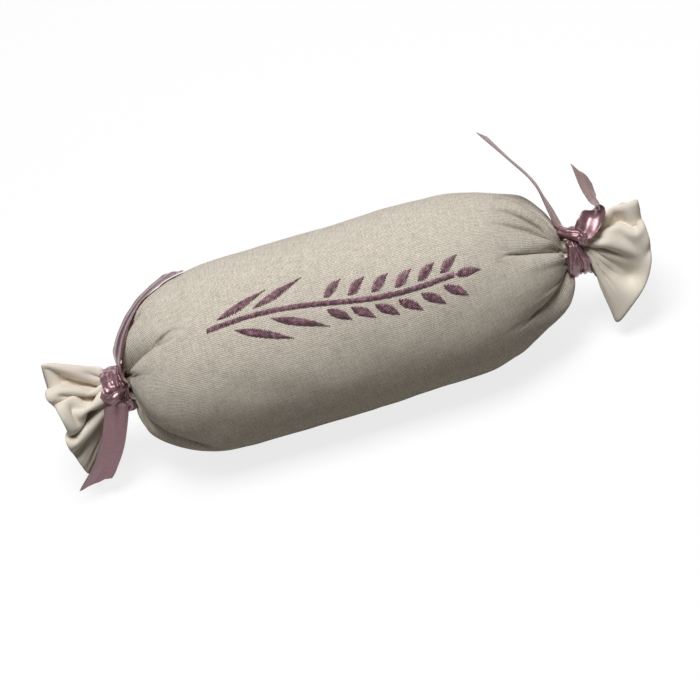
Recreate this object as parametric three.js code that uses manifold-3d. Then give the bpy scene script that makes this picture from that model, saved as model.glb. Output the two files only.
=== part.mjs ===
// A bonbon-shaped lavender sachet, in millimetres with +Z up.
// The roll lies along X on its flattened underside, and the origin is in the middle of that flat.
// -Y is the front, which carries the embroidery, and +X is the right end.

import * as THREE from "three";
import { mergeVertices } from "three/addons/utils/BufferGeometryUtils.js";
import Module from "manifold-3d";

const wasm = await Module();
wasm.setup();

// Driving dimensions of the roll
const ROLL_DIAMETER = 53;
const TIE_SPACING = 133; // between the middles of the two ties
const LEFT_END_LENGTH = 30; // rounded end, from the tie to the full diameter
const RIGHT_END_LENGTH = 37;
const NECK_DIAMETER = 10.4; // the gathered cloth inside a tie
const NECK_BORE = 2; // opening left in the middle of the gathers
const CLOTH = 0.5;
const GATHERS = 10; // pleats around each end
const GATHER_DEPTH = 4;
const GATHER_FADE = 3; // power at which the pleats die out away from the neck
const NECK_GATHER = 0.15; // share of the pleat depth left in the neck
const BUNCH = 3; // thickness of the bunched cloth behind each tie
const REST_DEPTH = 0.5; // how far the underside is pressed flat
const CLEARANCE = 0.3; // between pieces that touch

// Driving dimensions of the inside
const LINER = 0.4;
const LINER_MOUTH = 3;
const BACKING = 0.4;
const BACKING_MARGIN = 4; // around the embroidery

// Driving dimensions of the ears
const EAR_CLOTH = 0.9; // hemmed double
const LEFT_EAR = { length: 20, flutes: 11, spread: 48, depth: 39, droop: 9, turn: 3, ruffle: 2 };
const RIGHT_EAR = { length: 20, flutes: 9, spread: 55, depth: 45, droop: 28, turn: 10, ruffle: 2.4 };
const EAR_OFFSET = 2; // from the end of the neck to the middle of the root
const EAR_ROOT = 7; // diameter of the ball of gathers that turns in the end of the neck
const EAR_SOLID = 0.34; // share of the length that is gathered solid
const EAR_TIP = 0.06; // share of the length at which the gathers start

// Driving dimensions of the ribbon
const RIBBON_WIDTH = 7;
const RIBBON = 0.5;
const BAND_TURNS = 2;
// the angle of a knot runs from the top of the neck towards the back, and out is along the roll
const LEFT_KNOT = { angle: -50, length: 8.4, width: 5.6, height: 4.2, out: 1 };
const RIGHT_KNOT = { angle: -16, length: 7, width: 5.8, height: 4, out: -1 };
const SHOULDER_FOOT = { angle: 15, inward: 1.9, rise: 0.6 }; // where the left tail leaves its band for the roll
const LEFT_HANGING_TAIL = 26; // lengths of the free tails
const RIGHT_LONG_TAIL = 40;
const RIGHT_FOLDED_TAIL = 28;
const CUT_SLANT = 3; // the ends are cut at a slant
const PINCH = 0.4; // share of its width that a tail keeps in its knot
const PINCH_REACH = 0.25; // share of a tail that opens out to the full width

// Driving dimensions of the embroidered sprig
const SPRIG_LENGTH = 76;
const SPRIG_MIDDLE = 2;
const SPRIG_ANGLE = -39; // around the roll, from the top towards the back
const SPRIG_SLOPE = 4; // degrees, right end lower
const SPRIG_SWAY = 1.6;
const STEM_WIDTH = 1.7;
const STITCH_HEIGHT = 0.8;
const BUD_LENGTH = 7;
const BUD_WIDTH = 3;
const BUD_TILT = 36;
const WHORLS = 6;
const WHORL_SPACING = 6.4;
const LEAF_LENGTH = 16;
const LEAF_WIDTH = 2.6;
const LEAF_TILT = 21;
const LEAF_STEPS = [0.05, 0.2]; // shares of the stem that carry a pair of leaves

// Driving dimensions of the closing seam
const SEAM_ANGLE = 128;
const SEAM_WIDTH = 0.9;
const SEAM_HEIGHT = 0.5;

// Facet counts
const SLEEVE_AROUND = GATHERS * 4;
const BAG_AROUND = 24;
const BAG_STEPS = 6;
const END_STEPS = 8;
const MIDDLE_STEPS = 3;
const TAIL_STEPS = 18;

// Sizes that follow from those
const ROLL_RADIUS = ROLL_DIAMETER / 2;
const AXIS_HEIGHT = ROLL_RADIUS - REST_DEPTH;
const NECK_RADIUS = NECK_DIAMETER / 2;
const TIE_X = TIE_SPACING / 2;
const ROLL_END = TIE_X - RIBBON_WIDTH / 2 - CLEARANCE;
const NECK_END = TIE_X + RIBBON_WIDTH / 2;
const BAND_RADIUS = NECK_RADIUS + CLEARANCE + BAND_TURNS * RIBBON;
const BAG_RADIUS = ROLL_RADIUS - CLOTH;
const BAG_FACET = 2 * BAG_RADIUS * (1 - Math.cos(Math.PI / BAG_AROUND)); // lost between the facets
const LINER_GAP = BACKING + 2 * CLEARANCE + BAG_FACET;
const SETTLE = LINER_GAP - CLEARANCE; // the liner sinks until it lies on the sleeve
const FILL_GAP = LINER_GAP + LINER + CLEARANCE;
const END_LENGTH = { "-1": LEFT_END_LENGTH, 1: RIGHT_END_LENGTH };

const object = new THREE.Group();
object.name = "lavender_sachet";

const LINEN = { color: 0xc9bda9, roughness: 0.95 };
const MUSLIN = { color: 0xe6dfd0, roughness: 0.95 };
const BUDS = { color: 0x5c5266, roughness: 1 };
const SATIN = { color: 0xa07880, roughness: 0.4 };
const THREAD = { color: 0x6b4552, roughness: 0.5 };
const FELT = { color: 0xf2f0ea, roughness: 1 };

function add(name, geometry, finish) {
  const mesh = new THREE.Mesh(geometry, new THREE.MeshStandardMaterial(finish));
  mesh.name = name;
  object.add(mesh);
}

const radians = THREE.MathUtils.degToRad;
const vector = (x, y, z) => new THREE.Vector3(x, y, z);

// Direction across the roll at an angle from the top towards the back, and the direction around it there.
const spoke = (degrees) => vector(0, Math.sin(radians(degrees)), Math.cos(radians(degrees)));
const around = (degrees) => vector(0, Math.cos(radians(degrees)), -Math.sin(radians(degrees)));

// The point at a distance along the roll, an angle around it and a radius from its axis.
function onAxis(x, degrees, radius) {
  return spoke(degrees).multiplyScalar(radius).add(vector(x, 0, AXIS_HEIGHT));
}

// A closed solid through rings of points. The first and the last ring are covered by a fan,
// or by a ladder from one half of the ring to the other where the section is long and thin.
function loft(rings, cover = "fan") {
  const count = rings[0].length;
  const points = rings.flat();
  const faces = [];
  for (let i = 0; i + 1 < rings.length; i++) {
    for (let k = 0; k < count; k++) {
      const here = i * count + k;
      const beside = i * count + ((k + 1) % count);
      faces.push([here, beside, beside + count], [here, beside + count, here + count]);
    }
  }
  for (const i of [0, rings.length - 1]) {
    const first = i * count;
    const cap = [];
    if (cover === "ladder") {
      for (let k = 0; k + 1 < count / 2; k++) {
        const far = count - 1 - k;
        cap.push([first + k, first + k + 1, first + far - 1], [first + k, first + far - 1, first + far]);
      }
    } else {
      const sum = rings[i].reduce((total, point) => total.add(point), vector(0, 0, 0));
      const middle = points.push(sum.divideScalar(count)) - 1;
      for (let k = 0; k < count; k++) {
        cap.push([first + k, first + ((k + 1) % count), middle]);
      }
    }
    faces.push(...(i === 0 ? cap.map(([a, b, c]) => [b, a, c]) : cap));
  }
  const volume = faces.reduce((sum, [a, b, c]) => {
    return sum + points[a].dot(points[b].clone().cross(points[c]));
  }, 0);
  const outward = volume > 0 ? faces : faces.map(([a, b, c]) => [a, c, b]);
  const geometry = new THREE.BufferGeometry().setFromPoints(points);
  geometry.setIndex(outward.flat());
  geometry.computeVertexNormals();
  return geometry;
}

// Boolean solids
function solidOf(geometry) {
  const bare = new THREE.BufferGeometry();
  bare.setAttribute("position", geometry.getAttribute("position"));
  bare.setIndex(geometry.getIndex());
  const welded = mergeVertices(bare, 1e-5);
  const vertProperties = new Float32Array(welded.getAttribute("position").array);
  const triVerts = new Uint32Array(welded.getIndex().array);
  return new wasm.Manifold(new wasm.Mesh({ numProp: 3, vertProperties, triVerts }));
}

function geometryOf(solid) {
  const mesh = solid.getMesh();
  const geometry = new THREE.BufferGeometry();
  geometry.setAttribute("position", new THREE.BufferAttribute(mesh.vertProperties, 3));
  geometry.setIndex(new THREE.BufferAttribute(mesh.triVerts, 1));
  geometry.computeVertexNormals();
  return geometry;
}

// A turned solid along X from pairs of axial position and radius, closed through the axis.
function turned(profile, segments) {
  const points = profile.map(([x, radius]) => new THREE.Vector2(radius, x));
  const geometry = new THREE.LatheGeometry(points, segments);
  geometry.rotateZ(-Math.PI / 2);
  geometry.translate(0, 0, AXIS_HEIGHT);
  return geometry;
}

function rod(from, to, radius, segments) {
  return turned([[from, 0], [from, radius], [to, radius], [to, 0]], segments);
}

// Presses everything lower than a level flat onto it.
function pressed(geometry, level) {
  const position = geometry.getAttribute("position");
  for (let i = 0; i < position.count; i++) {
    position.setZ(i, Math.max(position.getZ(i), level));
  }
  return geometry;
}

// The rounded end: axial position and radius at a share of the quarter turn, 0 where the roll is full.
function endProfile(side, share) {
  const turn = (share * Math.PI) / 2;
  const reach = END_LENGTH[side];
  const x = side * (ROLL_END - reach + reach * Math.sin(turn));
  return [x, NECK_RADIUS + (ROLL_RADIUS - NECK_RADIUS) * Math.cos(turn)];
}

// How far a place along the roll is into its rounded end, from 0 to 1.
function endShare(x) {
  const reach = END_LENGTH[x < 0 ? -1 : 1];
  return THREE.MathUtils.clamp((Math.abs(x) - ROLL_END + reach) / reach, 0, 1);
}

function rollRadius(x) {
  return NECK_RADIUS + (ROLL_RADIUS - NECK_RADIUS) * Math.sqrt(1 - endShare(x) ** 2);
}

function gatherDepth(x) {
  const share = endShare(x);
  return GATHER_DEPTH * share ** GATHER_FADE * (1 - (1 - NECK_GATHER) * share ** (GATHER_FADE * 4));
}

// One ring of the sleeve, with sharp valleys between rounded pleats.
function sleeveRing(x, radius) {
  const depth = gatherDepth(x);
  return Array.from({ length: SLEEVE_AROUND }, (_, k) => {
    const turn = k / SLEEVE_AROUND;
    const valley = 1 - Math.abs(Math.sin(turn * GATHERS * Math.PI));
    return onAxis(x, turn * 360, radius - depth * valley);
  });
}

// The inside of the sleeve drawn in by an inset, as a solid that sinks and is pressed flat underneath.
const bagReach = (side, inset) => END_LENGTH[side] - BUNCH - inset;

function bag(inset, sink) {
  const half = (side) => Array.from({ length: BAG_STEPS + 1 }, (_, i) => {
    const turn = (i / BAG_STEPS) * (Math.PI / 2);
    const x = side * (ROLL_END - END_LENGTH[side] + bagReach(side, inset) * Math.sin(turn));
    return [x, i === BAG_STEPS ? 0 : (BAG_RADIUS - inset) * Math.cos(turn)];
  });
  const geometry = turned([...half(-1).reverse(), ...half(1)], BAG_AROUND);
  geometry.translate(0, 0, -sink);
  return pressed(geometry, CLOTH + inset - sink);
}

// The radius of that inside at a place along the roll.
function bagRadius(x, inset) {
  const side = x < 0 ? -1 : 1;
  const share = (endShare(x) * END_LENGTH[side]) / bagReach(side, inset);
  return (BAG_RADIUS - inset) * Math.sqrt(1 - share ** 2);
}

// The middle of the ball at the root of an ear.
function earPivot(side) {
  return vector(side * (NECK_END + EAR_OFFSET), 0, AXIS_HEIGHT);
}

// Sleeve
function sleeve() {
  const steps = Array.from({ length: END_STEPS + 1 }, (_, i) => i / END_STEPS);
  const end = (side) => steps.map((share) => sleeveRing(...endProfile(side, share)));
  const neck = (side) => sleeveRing(side * NECK_END, NECK_RADIUS);
  const full = [-1, 1].map((side) => endProfile(side, 0)[0]);
  const middle = Array.from({ length: MIDDLE_STEPS }, (_, i) => {
    const x = THREE.MathUtils.lerp(...full, (i + 1) / (MIDDLE_STEPS + 1));
    return sleeveRing(x, ROLL_RADIUS);
  });
  const rings = [neck(-1), ...end(-1).reverse(), ...middle, ...end(1), neck(1)];
  const outside = solidOf(pressed(loft(rings), 0));
  const bore = solidOf(rod(-NECK_END - 1, NECK_END + 1, NECK_BORE / 2, 8));
  const socket = (side) => {
    const ball = new THREE.SphereGeometry(EAR_ROOT / 2 + CLEARANCE, 16, 10).translate(...earPivot(side));
    return solidOf(ball);
  };
  const shell = outside.subtract(solidOf(bag(0, 0))).subtract(bore);
  return geometryOf(shell.subtract(socket(-1)).subtract(socket(1)));
}

// Inside
function liner() {
  const mouth = rod(0, NECK_END, LINER_MOUTH / 2, 8).translate(0, 0, -SETTLE);
  const outside = solidOf(bag(LINER_GAP, SETTLE));
  return geometryOf(outside.subtract(solidOf(bag(LINER_GAP + LINER, SETTLE))).subtract(solidOf(mouth)));
}

// A curved strip along the roll between two angles and two radii, which may change along it.
function strip(places, angles, innerRadius, outerRadius, steps) {
  const arc = Array.from({ length: steps + 1 }, (_, i) => THREE.MathUtils.lerp(...angles, i / steps));
  const back = [...arc].reverse();
  const rings = places.map((x) => [
    ...arc.map((angle) => onAxis(x, angle, innerRadius(x))),
    ...back.map((angle) => onAxis(x, angle, outerRadius(x))),
  ]);
  return loft(rings, "ladder");
}

const arcDegrees = (length) => THREE.MathUtils.radToDeg(length / ROLL_RADIUS);

function backing() {
  const reach = SPRIG_LENGTH / 2 + BACKING_MARGIN;
  const spread = arcDegrees(BUD_LENGTH + BACKING_MARGIN);
  const inset = CLEARANCE + BAG_FACET;
  const places = Array.from({ length: 11 }, (_, i) => SPRIG_MIDDLE + reach * (i / 5 - 1));
  const angles = [SPRIG_ANGLE - spread, SPRIG_ANGLE + spread];
  return strip(places, angles, (x) => bagRadius(x, inset) - BACKING, (x) => bagRadius(x, inset), 8);
}

function seam() {
  const half = arcDegrees(SEAM_WIDTH / 2);
  const base = ROLL_RADIUS + CLEARANCE;
  const ends = [-1, 1].map((side) => endProfile(side, 0)[0]);
  return strip(ends, [SEAM_ANGLE - half, SEAM_ANGLE + half], () => base, () => base + SEAM_HEIGHT, 2);
}

// Embroidery, drawn on the unrolled cloth with x along the roll and arc around it from the sprig's middle
function onCloth(x, arc, lift) {
  const slope = Math.tan(radians(SPRIG_SLOPE)) * (x - SPRIG_MIDDLE);
  return onAxis(x, SPRIG_ANGLE + arcDegrees(arc - slope), rollRadius(x) + CLEARANCE + lift);
}

// A raised satin-stitch shape around a line on the cloth, with a width at each of its points.
function stitched(line, widths) {
  const rings = line.map(([x, arc], i) => {
    const before = line[Math.max(i - 1, 0)];
    const after = line[Math.min(i + 1, line.length - 1)];
    const heading = new THREE.Vector2(after[0] - before[0], after[1] - before[1]).normalize();
    const half = widths[i] / 2;
    const height = STITCH_HEIGHT * Math.min(1, 0.4 + widths[i] / STEM_WIDTH);
    const shoulder = [half * 0.8, height * 0.6];
    const section = [[-half, 0], [half, 0], shoulder, [0, height], [-shoulder[0], shoulder[1]]];
    return section.map(([side, lift]) => onCloth(x - heading.y * side, arc + heading.x * side, lift));
  });
  return loft(rings);
}

const STEM_START = SPRIG_MIDDLE - SPRIG_LENGTH / 2;
const STEM_END = SPRIG_MIDDLE + SPRIG_LENGTH / 2 - BUD_LENGTH - CLEARANCE;

function stemPoint(share) {
  return [
    THREE.MathUtils.lerp(STEM_START, STEM_END, share),
    SPRIG_SWAY * Math.sin(share * Math.PI * 2),
  ];
}

// An almond from a point on the cloth, heading at an angle, with a length and a greatest width.
function almond(start, degrees, length, width) {
  const steps = 6;
  const heading = [Math.cos(radians(degrees)), Math.sin(radians(degrees))];
  const shares = Array.from({ length: steps + 1 }, (_, i) => i / steps);
  const line = shares.map((share) => start.map((value, axis) => value + heading[axis] * length * share));
  const widths = shares.map((share) => Math.max(width * Math.sin(Math.PI * share ** 0.8), width * 0.12));
  return stitched(line, widths);
}

function sprig() {
  const stem = Array.from({ length: 15 }, (_, i) => stemPoint(i / 14));
  add("sprig_stem", stitched(stem, stem.map(() => STEM_WIDTH)), THREAD);
  const offset = STEM_WIDTH / 2 + CLEARANCE;
  let leaf = 0;
  for (const share of LEAF_STEPS) {
    for (const side of [1, -1]) {
      const [x, arc] = stemPoint(share);
      leaf += 1;
      const start = [x + (side > 0 ? 0 : LEAF_LENGTH / 4), arc + side * (offset + LEAF_WIDTH * 0.3)];
      add(`sprig_leaf_${leaf}`, almond(start, side * LEAF_TILT, LEAF_LENGTH, LEAF_WIDTH), THREAD);
    }
  }
  let bud = 0;
  for (let whorl = 0; whorl < WHORLS; whorl++) {
    const x = STEM_END - BUD_LENGTH / 2 - (WHORLS - 1 - whorl) * WHORL_SPACING;
    const arc = stemPoint((x - STEM_START) / (STEM_END - STEM_START))[1];
    for (const side of [1, -1]) {
      bud += 1;
      const start = [x, arc + side * (offset + BUD_WIDTH * 0.2)];
      add(`sprig_bud_${bud}`, almond(start, side * BUD_TILT, BUD_LENGTH, BUD_WIDTH), THREAD);
    }
  }
  const tip = stemPoint(1);
  const last = almond([tip[0] + CLEARANCE, tip[1]], 0, BUD_LENGTH, BUD_WIDTH);
  add(`sprig_bud_${bud + 1}`, last, THREAD);
}

// Ears: a cone of cloth in flutes, gathered to a ball that sits in the outer end of the neck
function ear(side, { length, flutes, spread, depth, droop, turn: sway, ruffle }) {
  const out = vector(side, -Math.tan(radians(sway)), -Math.tan(radians(droop))).normalize();
  const across = out.clone().cross(vector(0, 0, 1)).normalize();
  const up = across.clone().cross(out);
  const wide = Math.tan(radians(spread));
  const deep = Math.tan(radians(depth));
  const heading = (turn) => out.clone()
    .addScaledVector(up, wide * Math.cos(turn))
    .addScaledVector(across, deep * Math.sin(turn))
    .normalize();

  // turns that space the flutes evenly along the cloth
  const samples = 360;
  const travelled = [0];
  for (let i = 1; i <= samples; i++) {
    const step = heading((i / samples) * 2 * Math.PI).distanceTo(heading(((i - 1) / samples) * 2 * Math.PI));
    travelled.push(travelled[i - 1] + step);
  }
  const evenTurn = (share) => {
    const target = share * travelled[samples];
    const i = Math.max(1, travelled.findIndex((value) => value >= target));
    const part = (target - travelled[i - 1]) / (travelled[i] - travelled[i - 1]);
    return ((i - 1 + part) / samples) * 2 * Math.PI;
  };

  const count = flutes * 6;
  const ring = (share, offset) => Array.from({ length: count }, (_, k) => {
    const turn = evenTurn(k / count);
    const line = heading(turn);
    const along = heading(turn + 1e-3).sub(heading(turn - 1e-3));
    const outward = along.cross(line).normalize();
    outward.multiplyScalar(Math.sign(outward.dot(line.clone().sub(out))) || 1);
    const wave = ruffle * share ** 1.5 * Math.cos((k / count) * flutes * 2 * Math.PI);
    return earPivot(side).addScaledVector(line, length * share).addScaledVector(outward, wave + offset);
  });
  const tip = [EAR_TIP, EAR_SOLID / 2, EAR_SOLID];
  const open = [0.5, 0.67, 0.84, 1];
  const thickened = (share) => (EAR_CLOTH / 2) * Math.min(1, share / EAR_SOLID);
  const outside = [...tip, ...open].map((share) => ring(share, thickened(share)));
  const inside = [EAR_SOLID, ...open].reverse().map((share) => ring(share, -EAR_CLOTH / 2));
  const root = new THREE.SphereGeometry(EAR_ROOT / 2, 16, 10).translate(...earPivot(side));
  return geometryOf(solidOf(loft([...outside, ...inside])).add(solidOf(root)));
}

// Ribbon ties
function band(side) {
  const from = side * TIE_X - RIBBON_WIDTH / 2;
  const to = side * TIE_X + RIBBON_WIDTH / 2;
  const inner = NECK_RADIUS + CLEARANCE;
  const crown = BAND_RADIUS + RIBBON / 2;
  const rim = [[from, 0], [from, BAND_RADIUS], [side * TIE_X, crown], [to, BAND_RADIUS], [to, 0]];
  const outside = turned(rim, 32);
  const hole = rod(from - 1, to + 1, inner, 32);
  return geometryOf(solidOf(outside).subtract(solidOf(hole)));
}

// The middle of a knot, which sits on its band.
const KNOT_SEAT = BAND_RADIUS + RIBBON / 2 + CLEARANCE;

function knotMiddle(side, { angle, height, out }) {
  return onAxis(side * (TIE_X + out), angle, KNOT_SEAT + height * 0.4);
}

function knot(side, shape) {
  const { angle, length, width, height } = shape;
  const core = new THREE.SphereGeometry(0.5, 16, 10).scale(width * 0.9, length, height);
  const wrap = new THREE.SphereGeometry(0.5, 14, 8).scale(width, length * 0.6, height * 1.15);
  const place = new THREE.Matrix4().makeBasis(vector(1, 0, 0), around(angle), spoke(angle));
  place.setPosition(knotMiddle(side, shape));
  const whole = solidOf(core.applyMatrix4(place)).add(solidOf(wrap.applyMatrix4(place)));
  const ends = [side * TIE_X - RIBBON_WIDTH, side * TIE_X + RIBBON_WIDTH];
  return geometryOf(whole.subtract(solidOf(rod(...ends, KNOT_SEAT, 32))));
}

// A ribbon through middles, with the direction across it at each of them, and a slanted cut at the far end.
function ribbon(middles, acrosses, slant) {
  const path = new THREE.CatmullRomCurve3(middles);
  const turns = new THREE.CatmullRomCurve3(acrosses);
  const rings = Array.from({ length: TAIL_STEPS + 1 }, (_, i) => {
    const share = i / TAIL_STEPS;
    const middle = path.getPoint(share);
    const heading = path.getTangent(share);
    const across = turns.getPoint(share);
    across.addScaledVector(heading, -across.dot(heading)).normalize();
    const face = heading.clone().cross(across);
    const cut = i === TAIL_STEPS ? slant / 2 : 0;
    const opened = THREE.MathUtils.smoothstep(share, 0, PINCH_REACH);
    const half = (RIBBON_WIDTH / 2) * THREE.MathUtils.lerp(PINCH, 1, opened);
    const corner = (w, t) => middle.clone()
      .addScaledVector(across, w * half)
      .addScaledVector(face, t * RIBBON / 2)
      .addScaledVector(heading, w * cut);
    return [corner(-1, -1), corner(1, -1), corner(1, 1), corner(-1, 1)];
  });
  return loft(rings, "ladder");
}

// A tail from its foot. Each stop has the place of the middle, as shares of the length, and the direction
// across the ribbon there, both outwards along the roll, to the front and up.
function tail(side, foot, length, stops) {
  const place = ([out, front, up]) => vector(side * out, -front, up);
  const middles = stops.map(([at]) => place(at).multiplyScalar(length).add(foot));
  return ribbon(middles, stops.map(([, across]) => place(across)), CUT_SLANT);
}

// The foot of a tail, around the band from the middle of its knot by a share of the knot's reach.
function tailFoot(side, shape, share, rise) {
  const reach = shape.length / 2 + CLEARANCE + RIBBON;
  return knotMiddle(side, shape)
    .addScaledVector(around(shape.angle), share * reach)
    .addScaledVector(spoke(shape.angle), rise);
}

// A point over the rounded end, lifted off the cloth.
function overEnd(side, share, angle, lift) {
  const [x, radius] = endProfile(side, share);
  const turn = (share * Math.PI) / 2;
  const slope = vector(side * Math.sin(turn), 0, 0).addScaledVector(spoke(angle), Math.cos(turn));
  return onAxis(x, angle, radius).addScaledVector(slope, lift);
}

// Left ribbon: one tail lies up over the shoulder of the roll, the other hangs in front of the ear
function leftShoulderTail() {
  const stops = [
    [0.86, 16, 1.6], [0.74, 18, 1.5], [0.64, 24, 1.5], [0.52, 29, 1.4],
    [0.41, 33, 1.3], [0.29, 35, 1.3], [0.18, 35, 1.4],
  ];
  const foot = onAxis(-TIE_X + SHOULDER_FOOT.inward, SHOULDER_FOOT.angle, BAND_RADIUS + SHOULDER_FOOT.rise);
  const middles = [foot, ...stops.map(([share, angle, lift]) => overEnd(-1, share, angle, lift))];
  const acrosses = [around(SHOULDER_FOOT.angle), ...stops.map(([, angle]) => around(angle))];
  return ribbon(middles, acrosses, -CUT_SLANT);
}

function leftHangingTail() {
  const foot = tailFoot(-1, LEFT_KNOT, -1, 0).add(vector(-RIBBON_WIDTH * 0.12, 0, 0));
  return tail(-1, foot, LEFT_HANGING_TAIL, [
    [[0, 0, 0], [0.95, -0.2, 0.25]],
    [[0.09, 0.085, -0.17], [0.9, -0.28, 0.32]],
    [[0.215, 0.17, -0.385], [0.86, -0.33, 0.39]],
    [[0.345, 0.23, -0.6], [0.86, -0.33, 0.39]],
    [[0.46, 0.27, -0.79], [0.86, -0.33, 0.39]],
  ]);
}

// Right ribbon: one tail stands up behind the roll, the other folds over above the ear
function rightLongTail() {
  const foot = tailFoot(1, RIGHT_KNOT, 1, 0.4).add(vector(RIBBON_WIDTH * 0.05, 0, 0));
  return tail(1, foot, RIGHT_LONG_TAIL, [
    [[0, 0, 0], [0.65, 0.75, 0.15]],
    [[-0.025, -0.025, 0.125], [0.6, 0.75, 0.2]],
    [[-0.065, -0.055, 0.3], [0.45, 0.85, 0.2]],
    [[-0.18, -0.105, 0.525], [0.25, 0.9, 0.25]],
    [[-0.285, -0.145, 0.69], [0.2, 0.9, 0.25]],
    [[-0.41, -0.185, 0.85], [0.35, 0.8, 0.3]],
  ]);
}

function rightFoldedTail() {
  const side = vector(RIGHT_KNOT.width / 2 + CLEARANCE + RIBBON, 0, 0);
  const foot = tailFoot(1, RIGHT_KNOT, 0, 0.8).add(side);
  return tail(1, foot, RIGHT_FOLDED_TAIL, [
    [[0, 0, 0], [-0.1, 0.7, 0.6]],
    [[0.1, 0.045, 0.09], [-0.35, 0.5, 0.75]],
    [[0.18, 0.07, 0.2], [-0.7, 0.45, 0.5]],
    [[0.19, 0.05, 0.315], [-0.8, 0.5, -0.2]],
    [[0.16, 0, 0.46], [-0.8, 0.4, -0.45]],
    [[0.12, -0.035, 0.65], [-0.8, 0.4, -0.4]],
    [[0.07, -0.065, 0.87], [-0.8, 0.4, -0.4]],
  ]);
}

add("linen_sleeve", sleeve(), LINEN);
add("left_ear", ear(-1, LEFT_EAR), LINEN);
add("right_ear", ear(1, RIGHT_EAR), LINEN);
add("muslin_liner", liner(), MUSLIN);
add("lavender_fill", bag(FILL_GAP, SETTLE), BUDS);
add("embroidery_backing", backing(), FELT);
add("seam_stitching", seam(), MUSLIN);
sprig();
add("left_ribbon_band", band(-1), SATIN);
add("left_ribbon_knot", knot(-1, LEFT_KNOT), SATIN);
add("left_shoulder_tail", leftShoulderTail(), SATIN);
add("left_hanging_tail", leftHangingTail(), SATIN);
add("right_ribbon_band", band(1), SATIN);
add("right_ribbon_knot", knot(1, RIGHT_KNOT), SATIN);
add("right_long_tail", rightLongTail(), SATIN);
add("right_folded_tail", rightFoldedTail(), SATIN);

export default object;
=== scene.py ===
"""Dresses the frame of a lavender sachet: gathered linen, satin ribbons, embroidery and filling."""

import math

import bpy
import numpy as np
from bpy.props import FloatProperty, FloatVectorProperty, IntProperty, PointerProperty
from mathutils import Matrix, Vector, noise
from mathutils.bvhtree import BVHTree


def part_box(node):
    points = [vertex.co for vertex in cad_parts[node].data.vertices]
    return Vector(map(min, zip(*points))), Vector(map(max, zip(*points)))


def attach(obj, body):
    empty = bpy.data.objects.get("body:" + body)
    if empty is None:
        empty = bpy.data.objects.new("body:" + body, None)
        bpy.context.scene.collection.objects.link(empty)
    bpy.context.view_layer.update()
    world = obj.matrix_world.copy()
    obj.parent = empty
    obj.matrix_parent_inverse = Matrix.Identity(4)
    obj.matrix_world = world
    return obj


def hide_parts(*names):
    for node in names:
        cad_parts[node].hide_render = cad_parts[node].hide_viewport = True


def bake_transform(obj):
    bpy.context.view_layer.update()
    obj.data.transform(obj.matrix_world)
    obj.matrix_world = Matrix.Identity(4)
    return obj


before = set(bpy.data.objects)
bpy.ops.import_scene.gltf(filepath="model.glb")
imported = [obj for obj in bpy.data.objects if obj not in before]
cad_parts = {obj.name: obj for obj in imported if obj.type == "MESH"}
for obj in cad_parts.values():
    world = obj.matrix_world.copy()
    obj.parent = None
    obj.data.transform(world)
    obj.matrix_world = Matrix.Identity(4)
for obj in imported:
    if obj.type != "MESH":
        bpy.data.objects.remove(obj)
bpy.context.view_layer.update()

bl_info = {
    "name": "Lavender sachet",
    "version": (1, 0, 0),
    "blender": (4, 5, 0),
    "location": "View3D > Sidebar > Sachet",
    "description": "Models a bonbon-shaped linen sachet tied with satin ribbon",
    "category": "Object",
}

MM = 0.001
LEFT, RIGHT = -1, 1
SIDE_NAMES = {LEFT: "left", RIGHT: "right"}


def length_property(name, description, default):
    """A length that a user may change, in metres."""
    return FloatProperty(name=name, description=description, default=default, unit="LENGTH", precision=5)


def colour_property(name, description, default):
    """A colour that a user may change, as linear red, green and blue."""
    return FloatVectorProperty(
        name=name, description=description, default=default, subtype="COLOR", size=3, min=0.0, max=1.0)


def number_property(name, description, default):
    """A plain number that a user may change."""
    return FloatProperty(name=name, description=description, default=default)


def count_property(name, description, default, least=1, most=500):
    """A whole number that a user may change."""
    return IntProperty(name=name, description=description, default=default, min=least, max=most)


class SachetSizes(bpy.types.PropertyGroup):
    """The driving sizes, which repeat those of the frame."""

    roll_diameter: length_property("Roll diameter", "Across the filled roll", 53 * MM)
    axis_height: length_property("Axis height", "From the resting face to the axis", 26 * MM)
    tie_spacing: length_property("Tie spacing", "Between the middles of the two ribbons", 133 * MM)
    left_end: length_property("Left end", "Reach of the rounded left end", 30 * MM)
    right_end: length_property("Right end", "Reach of the rounded right end", 37 * MM)
    ear_length: length_property("Ear length", "Cloth past each tie", 18.6 * MM)
    cloth: length_property("Cloth", "Thickness of the linen", 0.5 * MM)
    hem: length_property("Hem", "Thickness of the doubled cloth of the ears", 1.1 * MM)
    neck_radius: length_property("Neck radius", "Outside of the gathered cloth under the tie", 5.3 * MM)
    neck_core: length_property("Neck core", "Inside of the gathered cloth under the tie", 1.2 * MM)
    ribbon_width: length_property("Ribbon width", "Width of the satin ribbon", 7 * MM)
    ribbon: length_property("Ribbon thickness", "Thickness of the satin ribbon", 0.26 * MM)
    clearance: length_property("Clearance", "Room between a ribbon and the roll's end", 0.3 * MM)
    thread: length_property("Thread", "Width of one embroidery thread", 0.46 * MM)


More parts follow.
